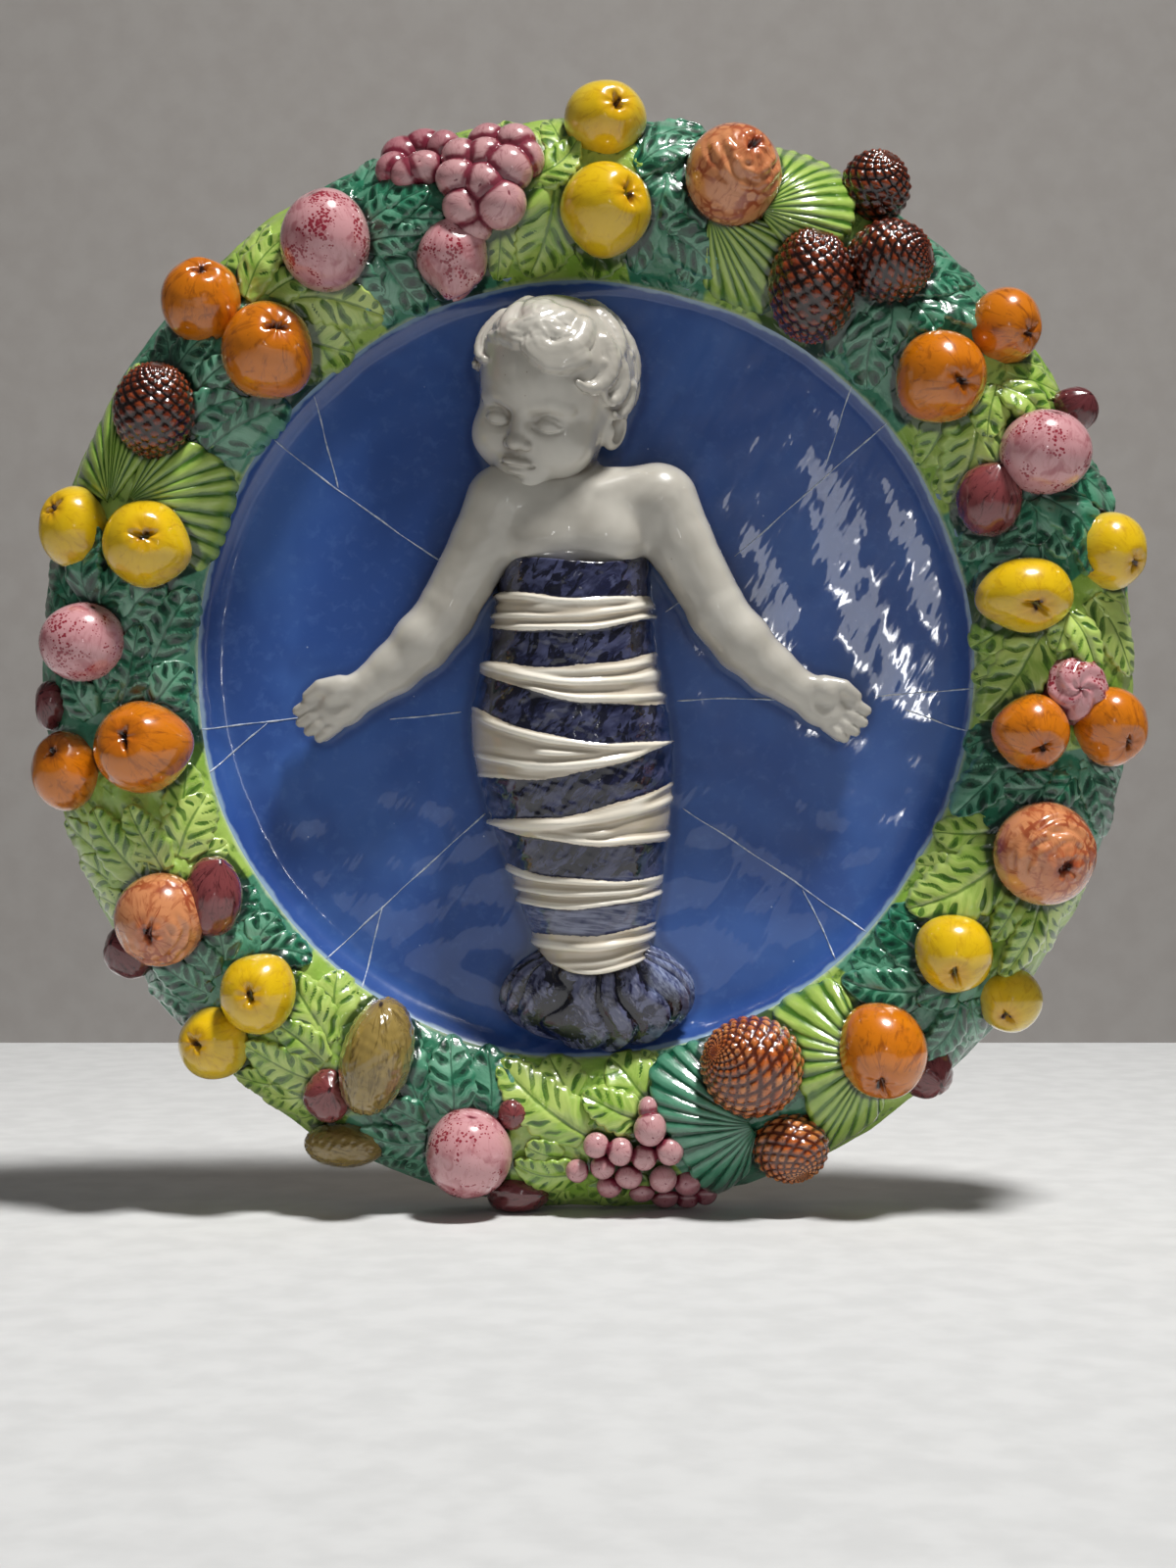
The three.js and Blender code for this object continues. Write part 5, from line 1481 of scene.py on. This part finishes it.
def leaf_glaze(name, t, wet):
    k = Mat(name)
    p = k.here()
    phase, across, rnd = k.vec3("vein")
    cut = k.val("cut")
    aa = k.math("ABSOLUTE", across)
    n1 = k.noise(p, 0.38, 3, 0.6)
    # streaks of the brush along the side veins
    streak = k.noise(k.comb(k.math("ADD", k.math("MULTIPLY", phase, 2.6), k.math("MULTIPLY", rnd, 37.0)),
                            k.math("MULTIPLY", across, 1.3), rnd), 1.0, 3, 0.6)
    wash = k.noise(p, 0.055, 2, 0.5, 0.5)
    tone = k.math("ADD", k.math("MULTIPLY", streak, 0.6), k.math("MULTIPLY", wash, 0.7))
    c = k.mix(k.rng(tone, 0.50, 0.78), t["mid"], t["pale"])
    c = k.mix(k.math("MULTIPLY", k.rng(rnd, 0.55, 1.0), 0.45), c, t["mid"])
    edge = k.math("ADD", cut, k.math("MULTIPLY", k.math("SUBTRACT", n1, 0.5), 0.55))
    st = k.rng(edge, -0.05, 0.22)
    c = k.mix(k.math("MULTIPLY", st, k.rng(streak, 0.30, 0.62, 0.55, 0.98)), c, t["dark"])
    c = k.mix(k.rng(edge, 0.42, 0.75, 0, 0.55 + 0.3 * wet), c, t["deep"])
    c = k.mix(k.rng(edge, -0.42, -0.62, 0, 0.35), c, t["pale"])
    c = k.mix(k.rng(k.math("ADD", aa, k.math("MULTIPLY", k.math("SUBTRACT", n1, 0.5), 0.08)), 0.075, 0.02, 0, 0.7), c, t["dark"])
    rim = k.val("rim")
    c = k.mix(k.rng(rim, 0.45, 0.85, 0, 0.40 - 0.2 * wet), c, t["pale"])
    # painted shade: the leaf's very edge and its side go deep green
    c = k.mix(k.rng(rim, 0.95, 1.0, 0, 0.6), c, t["deep"])
    # deep green in the hollows: partly pooled glaze, partly painted shade
    c = k.mix(k.rng(k.val("pooled_glaze_and_shade"), 0.14, 0.8, 0, 0.9), c, t["deep"])
    return k.glaze(c, k.math("ADD", n1, k.math("MULTIPLY", streak, 0.8)), 0.00012, rough=0.28, coat_rough=0.05)


def husk_glaze(name, t):
    k = Mat(name)
    p = k.here()
    phase, _, rnd = k.vec3("vein")
    along = k.val("along")
    fr = k.math("FRACT", phase)
    ridge = k.math("SINE", k.math("MULTIPLY", fr, math.pi))
    n1 = k.noise(k.comb(k.math("MULTIPLY", phase, 3.0), k.math("MULTIPLY", along, 6.0), rnd), 1.0, 3, 0.6)
    v = k.math("ADD", ridge, k.math("MULTIPLY", k.math("SUBTRACT", n1, 0.5), 0.9))
    # troughs darker and crests paler: partly pooled and thinned glaze, partly painted shade and painted highlight
    c = k.mix(k.rng(v, 0.25, 0.85), t["dark"], k.mix(0.45, t["mid"], t["pale"]))
    c = k.mix(k.rng(v, 0.85, 1.2, 0, 0.7), c, t["pale"])
    c = k.mix(k.rng(along, 0.35, 0.1, 0, 0.6), c, t["dark"])
    c = k.mix(k.rng(k.noise(p, 0.07, 2), 0.5, 0.7, 0, 0.4), c, t["mid"])
    # deep green in the hollows: partly pooled glaze, partly painted shade
    c = k.mix(k.rng(k.val("pooled_glaze_and_shade"), 0.15, 0.8, 0, 0.9), c, t["deep"])
    return k.glaze(c, n1, 0.00022, rough=0.26, coat_rough=0.05)


def ground_glaze():
    k = Mat("garland_glaze")
    p = k.here()
    tone = k.rng(k.val("zone"), -0.9, 0.9)
    st = green_strokes(k, p, tone)
    n1 = k.noise(p, 0.3, 3, 0.6)
    patch = k.noise(p, 0.045, 2, 0.5, 0.5)
    cols = {q: k.mix(tone, DARK[q], LIGHT[q]) for q in ("pale", "mid", "dark", "deep")}
    c = k.mix(k.rng(patch, 0.36, 0.62), cols["mid"], k.mix(0.5, cols["mid"], cols["pale"]))
    c = k.mix(k.math("MULTIPLY", st, k.rng(n1, 0.32, 0.55, 0.25, 0.85)), c, cols["dark"])
    c = k.mix(k.rng(n1, 0.56, 0.72, 0, 0.5), c, cols["pale"])
    inset = k.val("inset")
    c = k.mix(k.rng(k.math("ADD", inset, k.math("MULTIPLY", n1, 1.5)), 2.2, 0.9, 0, 0.75), c, srgb(196, 210, 176))
    # deep green in the hollows: partly pooled glaze, partly painted shade
    c = k.mix(k.rng(k.val("pooled_glaze_and_shade"), 0.12, 0.7, 0, 0.92), c, cols["deep"])
    # unglazed under the rim
    arc, rr, _ = k.vec3("polar")
    runs = k.noise(k.comb(k.math("MULTIPLY", arc, 0.055), k.math("MULTIPLY", rr, 0.01), 0.0), 1.0, 3, 0.6)
    low = k.rng(k.math("ADD", k.val("height"), k.math("MULTIPLY", k.math("SUBTRACT", runs, 0.5), 4.8)), 8.2, 6.8)
    c = k.mix(k.math("MULTIPLY", low, 1.0), c, srgb(214, 196, 170))
    return k.glaze(c, k.math("ADD", n1, k.math("MULTIPLY", st, -0.5)), 0.00028, rough=0.28, coat_rough=0.06)


def fruit_glaze(name, main, low, brush, eye, strokes=0.5, eye_size=0.13, halo=None, speck=None, rough=0.22, pores=0.0,
                pool_and_shade_color=None, marks=0.0):
    k = Mat(name)
    p = k.here()
    th, cx, sx = k.vec3("pole")
    rnd = k.val("rnd")
    h = k.val("height2")
    n0 = k.noise(p, 0.05, 2, 0.5, 0.6)
    n1 = k.noise(p, 0.22, 3, 0.6, 1.2)
    c = k.mix(k.rng(k.math("ADD", h, k.math("MULTIPLY", k.math("SUBTRACT", n0, 0.5), 0.8)), 0.1, 0.75), low, main)
    if strokes:
        # long soft brush marks round the eye
        a = k.comb(k.math("MULTIPLY", cx, 2.2), k.math("MULTIPLY", sx, 2.2), k.math("ADD", k.math("MULTIPLY", th, 0.9), k.math("MULTIPLY", rnd, 9.0)))
        b = k.noise(a, 2.2, 3, 0.62, 0.8)
        c = k.mix(k.rng(b, 0.5, 0.72, 0, strokes), c, brush)
        c = k.mix(k.rng(n1, 0.56, 0.74, 0, strokes * 0.7), c, brush)
    if speck is not None:
        col, amount = speck
        w = k.voronoi(p, 0.85)
        dens = k.noise(p, 0.11, 3, 0.6, 0.5)
        lim = k.rng(dens, 0.42, 0.66, 0.10, 0.62)
        m = k.rng(k.math("SUBTRACT", lim, w), -0.05, 0.12, 0, amount)
        c = k.mix(m, c, col)
        c = k.mix(k.rng(k.noise(p, 0.16, 2, 0.5, 0.8), 0.5, 0.72, 0, amount * 0.55), c, col)
    if marks:
        # painted scales: red-brown rings round pale cells, over part of the fruit
        w = k.voronoi(k.here(1000, 1000, 800, (0, 0.5, 0)), 0.26, 0.8, "DISTANCE_TO_EDGE")
        where = k.rng(k.noise(p, 0.055, 2, 0.5, 0.5), 0.47, 0.58)
        ring = k.rng(k.math("ADD", w, k.math("MULTIPLY", k.math("SUBTRACT", n1, 0.5), 0.25)), 0.20, 0.06)
        c = k.mix(k.math("MULTIPLY", k.math("MULTIPLY", ring, where), marks), c, brush)
    if halo is not None:
        c = k.mix(k.rng(th, 0.62, 0.2, 0, 0.55), c, halo)
    ang = k.math("ARCTAN2", sx, cx)
    te = k.math("MULTIPLY", th, k.math("ADD", 1.0, k.math("MULTIPLY", k.math("COSINE", k.math("ADD", k.math("MULTIPLY", ang, 2.0), k.math("MULTIPLY", rnd, 6.0))), 0.35)))
    te = k.math("ADD", te, k.math("MULTIPLY", k.math("SUBTRACT", k.noise(p, 0.6, 2), 0.5), 0.07))
    c = k.mix(k.rng(te, eye_size * 1.5, eye_size * 0.95, 0, 0.7), c, brush)
    c = k.mix(k.rng(te, eye_size, eye_size * 0.6), c, eye)
    pooled_glaze_and_shade = k.val("pooled_glaze_and_shade")
    if pool_and_shade_color is not None:
        # pooled glaze and painted shade: the pool colour where grapes meet
        c = k.mix(k.rng(k.math("ADD", k.val("cell"), k.math("MULTIPLY", k.math("SUBTRACT", n1, 0.5), 0.5)), 0.30, 0.80, 0, 0.92), c, pool_and_shade_color)
        # partly pooled glaze, partly painted shade: darker in the hollows, near black in the deepest
        c = k.mix(k.rng(k.math("ADD", pooled_glaze_and_shade, k.math("MULTIPLY", k.math("SUBTRACT", n1, 0.5), 0.35)), 0.10, 0.48, 0, 0.92), c, pool_and_shade_color)
    c = k.mix(k.rng(pooled_glaze_and_shade, 0.25, 0.95, 0, 0.75), c, k.mix(0.5, brush, (0.02, 0.03, 0.012)))
    hh = k.noise(p, 0.12, 2, 0.5)
    if pores:
        hh = k.math("ADD", hh, k.math("MULTIPLY", k.noise(p, 1.3, 2), pores))
    return k.glaze(c, hh, 0.00012, rough=rough, coat_rough=0.04)


def cone_glaze(name, scale, groove, tip, rough=0.25):
    k = Mat(name)
    p = k.here()
    th, cx, sx = k.vec3("pole")
    cell = k.val("cell")
    n1 = k.noise(p, 0.55, 3, 0.6)
    n2 = k.noise(p, 0.09, 2)
    v = k.math("ADD", cell, k.math("MULTIPLY", k.math("SUBTRACT", n1, 0.5), 0.45))
    c = k.mix(k.rng(n2, 0.35, 0.65), scale, tip)
    c = k.mix(k.rng(v, 0.5, 0.95, 0, 0.55), c, tip)
    c = k.mix(k.rng(v, 0.56, 0.16), c, groove)
    c = k.mix(k.rng(n1, 0.52, 0.70, 0, 0.75), c, groove)
    # near black in the hollows: partly pooled glaze, partly painted shade
    c = k.mix(k.rng(k.val("pooled_glaze_and_shade"), 0.2, 0.9, 0, 0.85), c, k.mix(0.6, groove, (0.01, 0.006, 0.004)))
    return k.glaze(c, n1, 0.00016, rough=rough, coat_rough=0.05)


def white_glaze(name, base, shade, warm=0.0):
    k = Mat(name)
    p = k.here()
    n0 = k.noise(p, 0.03, 3, 0.55, 0.4)
    n1 = k.noise(p, 0.35, 2)
    c = k.mix(k.rng(n0, 0.35, 0.65, 0, 0.6), base, k.mix(0.5, base, shade))
    # painted shade: the figure's glaze goes brown-grey in its hollows
    c = k.mix(k.rng(k.val("pooled_glaze_and_shade"), 0.10, 0.85, 0, 0.75), c, shade)
    pits = k.voronoi(p, 0.11)
    c = k.mix(k.rng(pits, 0.04, 0.02, 0, 0.5), c, srgb(120, 100, 80))
    k.b.inputs["Subsurface Weight"].default_value = 0.0
    return k.glaze(c, k.math("ADD", k.noise(p, 0.10, 2), k.math("MULTIPLY", n1, 0.1)), 0.00010, rough=0.26, coat_rough=0.045)


def wrap_glaze():
    k = Mat("wrap_glaze")
    p = k.here()
    navy, relief = k.val("navy"), k.val("relief")
    pooled_glaze_and_shade = k.val("pooled_glaze_and_shade")
    n0 = k.noise(p, 0.04, 2)
    cream = k.mix(k.rng(n0, 0.35, 0.65, 0, 0.6), srgb(244, 238, 224), srgb(230, 220, 200))
    # painted light and shade: the cream is darker except on the fold crests, and brown-grey in the hollows
    fold = k.rng(relief, 0.92, 0.35)
    cream = k.mix(k.math("MULTIPLY", fold, 0.60), cream, srgb(156, 138, 112))
    cream = k.mix(k.rng(pooled_glaze_and_shade, 0.1, 0.8, 0, 0.6), cream, srgb(120, 104, 84))
    # brush marks: broad near-black strokes on a lilac-grey wash
    w1 = k.noise(k.here(1000 * 0.45, 1000 * 0.4, 1000, (0, -0.95, 0)), 0.18, 3, 0.6, 1.2)
    w2 = k.noise(k.here(1000 * 0.5, 1000 * 0.4, 1000, (0, -0.5, 0)), 0.13, 3, 0.6, 1.2)
    w3 = k.noise(k.here(1000 * 0.25, 1000 * 0.3, 1000, (0, -0.7, 0)), 0.7, 3, 0.65)
    c = k.mix(k.rng(w2, 0.36, 0.64), srgb(28, 31, 58), srgb(70, 74, 104))
    c = k.mix(k.rng(w3, 0.55, 0.72, 0, 0.45), c, srgb(104, 110, 144))
    c = k.mix(k.rng(k.math("ADD", w1, k.math("MULTIPLY", k.math("SUBTRACT", w3, 0.5), 0.25)), 0.50, 0.56, 0, 0.94), c, srgb(15, 16, 32))
    # the lowest strip: a thin wash, streaked level
    xyz = k.t.nodes.new("ShaderNodeSeparateXYZ")
    k.t.links.new(p, xyz.inputs[0])
    w4 = k.noise(k.here(1000 * 0.10, 1000 * 0.2, 1000, (0, 0.10, 0)), 0.8, 3, 0.6, 0.3)
    pale = k.mix(k.rng(w4, 0.35, 0.65), srgb(64, 70, 104), srgb(124, 130, 156))
    c = k.mix(k.rng(xyz.outputs[2], -228, -231), c, pale)
    c = k.mix(k.rng(navy, 1.2, 0.3, 0, 0.75), c, srgb(20, 21, 42))
    m = k.rng(k.math("ADD", navy, k.math("MULTIPLY", k.math("SUBTRACT", k.noise(p, 0.5, 2), 0.5), 0.9)), -0.12, 0.12)
    c = k.mix(m, cream, c)
    return k.glaze(c, k.math("ADD", k.noise(p, 0.12, 2), k.math("MULTIPLY", k.noise(p, 0.4, 2), 0.2)), 0.00014, rough=0.24, coat_rough=0.05)


def ruffle_glaze():
    k = Mat("ruffle_glaze")
    p = k.here()
    cell = k.val("cell")
    w1 = k.noise(p, 0.22, 3, 0.6, 1.8)
    w2 = k.noise(p, 0.11, 2, 0.6, 2.0)
    w3 = k.noise(k.here(1000, 1000 * 0.4, 1000 * 0.3, (0, -0.6, 0)), 0.9, 3, 0.65)
    c = k.mix(k.rng(w2, 0.36, 0.62), srgb(28, 30, 58), srgb(94, 98, 128))
    c = k.mix(k.rng(w3, 0.52, 0.72, 0, 0.5), c, srgb(142, 144, 164))
    # near black in the fold valleys: partly pooled glaze, partly painted shade
    v = k.math("ADD", cell, k.math("MULTIPLY", k.math("SUBTRACT", w1, 0.5), 1.5))
    c = k.mix(k.rng(v, 0.70, 0.52, 0, 0.97), c, srgb(9, 10, 26))
    # one lobe at the right has a thin blue wash
    xyz = k.t.nodes.new("ShaderNodeSeparateXYZ")
    k.t.links.new(p, xyz.inputs[0])
    side = k.math("MULTIPLY", k.rng(xyz.outputs[0], 21, 25), k.rng(xyz.outputs[2], -276, -270))
    c = k.mix(k.math("MULTIPLY", side, 0.8), c, k.mix(k.rng(w3, 0.35, 0.65), srgb(62, 72, 120), srgb(150, 162, 196)))
    # painted shade in the hollows
    c = k.mix(k.rng(k.val("pooled_glaze_and_shade"), 0.14, 0.8, 0, 0.85), c, srgb(12, 13, 28))
    return k.glaze(c, w1, 0.00016, rough=0.24, coat_rough=0.05)


def line_glaze():
    k = Mat("scratched_line")
    p = k.here()
    c = k.mix(k.rng(k.noise(p, 0.5, 2), 0.35, 0.65), srgb(150, 168, 200), srgb(206, 214, 226))
    return k.glaze(c, k.noise(p, 0.8, 2), 0.0001, rough=0.35, coat=0.6, coat_rough=0.08)


def bare_clay():
    k = Mat("bare_clay")
    p = k.here()
    n0 = k.noise(p, 0.02, 4, 0.6)
    n1 = k.noise(p, 0.6, 4, 0.65)
    c = k.mix(k.rng(n0, 0.35, 0.65), srgb(226, 212, 190), srgb(206, 186, 158))
    c = k.mix(k.rng(n1, 0.55, 0.75, 0, 0.4), c, srgb(180, 156, 126))
    grit = k.voronoi(p, 0.45)
    c = k.mix(k.rng(grit, 0.12, 0.05, 0, 0.5), c, srgb(120, 92, 66))
    k.glaze(c, k.math("ADD", k.math("MULTIPLY", n1, 0.6), k.math("MULTIPLY", k.noise(p, 2.5, 3, 0.7), 0.5)), 0.0004, rough=0.86, coat=0.0, coat_rough=0.3)
    return k.m


MATS = {
    "dish": (blue_glaze(), "blue_glaze", "blue_dish"),
    "ground": (ground_glaze(), "green_glaze", "garland_ground"),
    "back": (bare_clay(), "bare_clay", "back_and_foot_ring"),
    "leaves_light": (leaf_glaze("yellow_green_leaf_glaze", LIGHT, 0.0), "green_glaze", "leaves_yellow_green"),
    "leaves_dark": (leaf_glaze("blue_green_leaf_glaze", DARK, 1.0), "green_glaze", "leaves_blue_green"),
    "husk_light": (husk_glaze("yellow_green_husk_glaze", LIGHT), "green_glaze", "husks_yellow_green"),
    "husk_dark": (husk_glaze("blue_green_husk_glaze", DARK), "green_glaze", "husk_blue_green"),
    "quince": (fruit_glaze("quince_glaze", srgb(224, 184, 18), srgb(214, 190, 74), srgb(176, 122, 10), srgb(58, 28, 16), 0.42,
                           halo=srgb(206, 146, 12), pool_and_shade_color=srgb(120, 112, 20)), "fruit_glaze", "quinces"),
    "orange": (fruit_glaze("orange_glaze", srgb(206, 116, 12), srgb(190, 116, 44), srgb(136, 66, 8), srgb(40, 20, 12), 0.72,
                           halo=srgb(170, 84, 12), pores=0.08, pool_and_shade_color=srgb(110, 52, 8)), "fruit_glaze", "oranges"),
    "pomegranate": (fruit_glaze("pomegranate_glaze", srgb(208, 138, 92), srgb(196, 140, 104), srgb(146, 58, 30), srgb(56, 24, 18), 0.75,
                                halo=srgb(184, 96, 56), pool_and_shade_color=srgb(120, 46, 26), marks=0.8), "fruit_glaze", "pomegranates"),
    "speckled": (fruit_glaze("speckled_glaze", srgb(206, 152, 156), srgb(186, 132, 134), srgb(156, 70, 84), srgb(110, 40, 50), 0.35,
                             speck=(srgb(142, 30, 50), 0.95), eye_size=0.07, pool_and_shade_color=srgb(122, 34, 50)), "fruit_glaze", "speckled_fruit"),
    "nut": (fruit_glaze("burgundy_glaze", srgb(126, 62, 64), srgb(104, 50, 54), srgb(58, 14, 20), srgb(52, 14, 18), 0.9,
                        eye_size=0.07), "fruit_glaze", "burgundy_buds"),
    "long": (fruit_glaze("olive_glaze", srgb(148, 126, 68), srgb(128, 108, 58), srgb(78, 60, 22), srgb(56, 42, 18), 0.85,
                         eye_size=0.07), "fruit_glaze", "long_fruit"),
    "cone": (cone_glaze("pine_cone_glaze", srgb(98, 33, 12), srgb(28, 8, 4), srgb(134, 58, 26)), "fruit_glaze", "pine_cones"),
    "painted_cone": (cone_glaze("ochre_cone_glaze", srgb(176, 84, 28), srgb(84, 32, 10), srgb(204, 130, 72)), "fruit_glaze", "ochre_cones"),
    "grapes": (fruit_glaze("grape_glaze", srgb(198, 150, 152), srgb(172, 112, 120), srgb(130, 52, 70), srgb(120, 56, 66), 0.5,
                           eye_size=0.05, pool_and_shade_color=srgb(118, 26, 50)), "fruit_glaze", "grapes"),
    "head": (white_glaze("white_glaze", srgb(196, 192, 182), srgb(106, 96, 83)), "white_glaze", "infant_head"),
    "body": (white_glaze("white_glaze_arms", srgb(196, 192, 182), srgb(106, 96, 83)), "white_glaze", "infant_arms_and_chest"),
    "trunk": (wrap_glaze(), "white_glaze", "swaddling_bands"),
    "ruffle": (ruffle_glaze(), "blue_glaze", "gathered_hem"),
    "lines": (line_glaze(), "white_glaze", "scratched_lines"),
}

for key, sp in SOUPS.items():
    mat, slot, name = MATS[key]
    V = sp.arrays()[0]
    extra = {"pooled_glaze_and_shade": hollow(V) if key != "back" else np.zeros(len(V)), "height": V[:, 2]}
    if key == "dish":
        extra["near"] = sample(NEAR_FIGURE, V)
    if "pole" in sp.a:
        extra["height2"] = sm(V[:, 2], 18, 52)
    build(name, sp, mat, slot, extra)

# every piece goes on the root body; the two wire holes through the foot ring near the top are made in back()
for ob, V, slot in PIECES:
    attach(ob, "root")
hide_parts("plaque")

# ------------------------------------------------------------------ floor, light, camera
FLOOR = -0.3529
soft = Mat("backdrop")
pb = soft.here(1, 1, 1)
soft.put(soft.b.inputs["Base Color"], soft.mix(soft.rng(soft.noise(pb, 60.0, 3), 0.3, 0.7), srgb(198, 199, 199), srgb(206, 207, 207)))
soft.b.inputs["Roughness"].default_value = 0.9
wall_m = Mat("backdrop_wall")
pb = wall_m.here(1, 1, 1)
wall_m.put(wall_m.b.inputs["Base Color"], wall_m.mix(wall_m.rng(wall_m.noise(pb, 40.0, 3), 0.3, 0.7), srgb(170, 165, 161), srgb(175, 171, 167)))
wall_m.b.inputs["Roughness"].default_value = 0.95


def plain(name, pts, mat):
    me = bpy.data.meshes.new(name)
    me.from_pydata(pts, [], [(0, 1, 2, 3)])
    me.materials.append(mat)
    ob = bpy.data.objects.new(name, me)
    bpy.context.scene.collection.objects.link(ob)
    return ob


plain("floor", [(-4, -3, FLOOR), (4, -3, FLOOR), (4, 0.55, FLOOR), (-4, 0.55, FLOOR)], soft.m)      # a table top
plain("wall", [(-4, 1.05, -1.4), (4, 1.05, -1.4), (4, 1.05, 3), (-4, 1.05, 3)], wall_m.m)


def panel(name, at, to, size, power, color=(1, 1, 1), glossy=True, spread=180):
    li = bpy.data.lights.new(name, "AREA")
    li.shape, li.size, li.size_y, li.energy, li.color = "RECTANGLE", size[0], size[1], power, color
    li.spread = spread * DEG
    ob = bpy.data.objects.new(name, li)
    ob.location = at
    ob.rotation_euler = (Vector(to) - Vector(at)).to_track_quat("-Z", "Y").to_euler()
    ob.visible_glossy = glossy
    ob.visible_camera = False
    bpy.context.scene.collection.objects.link(ob)
    return ob


panel("key", (0.80, -0.82, 2.9), (0, -0.03, -0.15), (0.5, 0.5), 27.0, (1.0, 0.985, 0.965), spread=80)
panel("fill", (0.7, -2.0, 0.6), (0, 0, -0.15), (1.2, 1.2), 2.5, (0.98, 0.985, 1.0), glossy=False)
panel("fill_left", (-1.3, -1.5, -0.1), (0, 0, -0.15), (1.0, 1.0), 0.9, (0.96, 0.98, 1.0), glossy=False)
panel("wall_wash", (0, 0.70, -0.80), (0, 1.05, -0.25), (1.8, 0.2), 2.0, (1.0, 1.0, 1.0), glossy=False)
panel("fill_back", (-0.5, 0.95, 0.9), (0, 0, -0.15), (0.8, 0.8), 1.0, (1.0, 1.0, 1.0), glossy=False)
panel("window", (0.19, -1.6, 0.0), (0.0, 0, -0.10), (0.075, 0.18), 0.14, (1.0, 1.0, 1.0))
panel("window_top", (0.205, -1.59, 0.07), (0.0, 0, -0.10), (0.022, 0.024), 0.050, (1.0, 1.0, 1.0))
panel("window_low", (0.175, -1.59, -0.065), (0.0, 0, -0.10), (0.020, 0.030), 0.050, (1.0, 1.0, 1.0))
panel("bounce", (0.12, -1.6, -0.345), (0.0, 0, -0.25), (1.3, 0.26), 0.55, (0.97, 0.99, 1.0))

world = bpy.data.worlds.new("soft_room")
bpy.context.scene.world = world
world.use_nodes = True
world.node_tree.nodes["Background"].inputs[0].default_value = (0.86, 0.88, 0.9, 1)
world.node_tree.nodes["Background"].inputs[1].default_value = 0.07

cam = bpy.data.cameras.new("camera")
cam.lens, cam.sensor_width, cam.sensor_fit = 54.9, 36.0, "AUTO"
cam.clip_start = 0.01
co = bpy.data.objects.new("camera", cam)
co.location = (0.0, -0.9, -0.196)
co.rotation_euler = (math.pi / 2, 0, 0)
bpy.context.scene.collection.objects.link(co)
bpy.context.scene.camera = co
bpy.context.scene.view_settings.view_transform = "Standard"
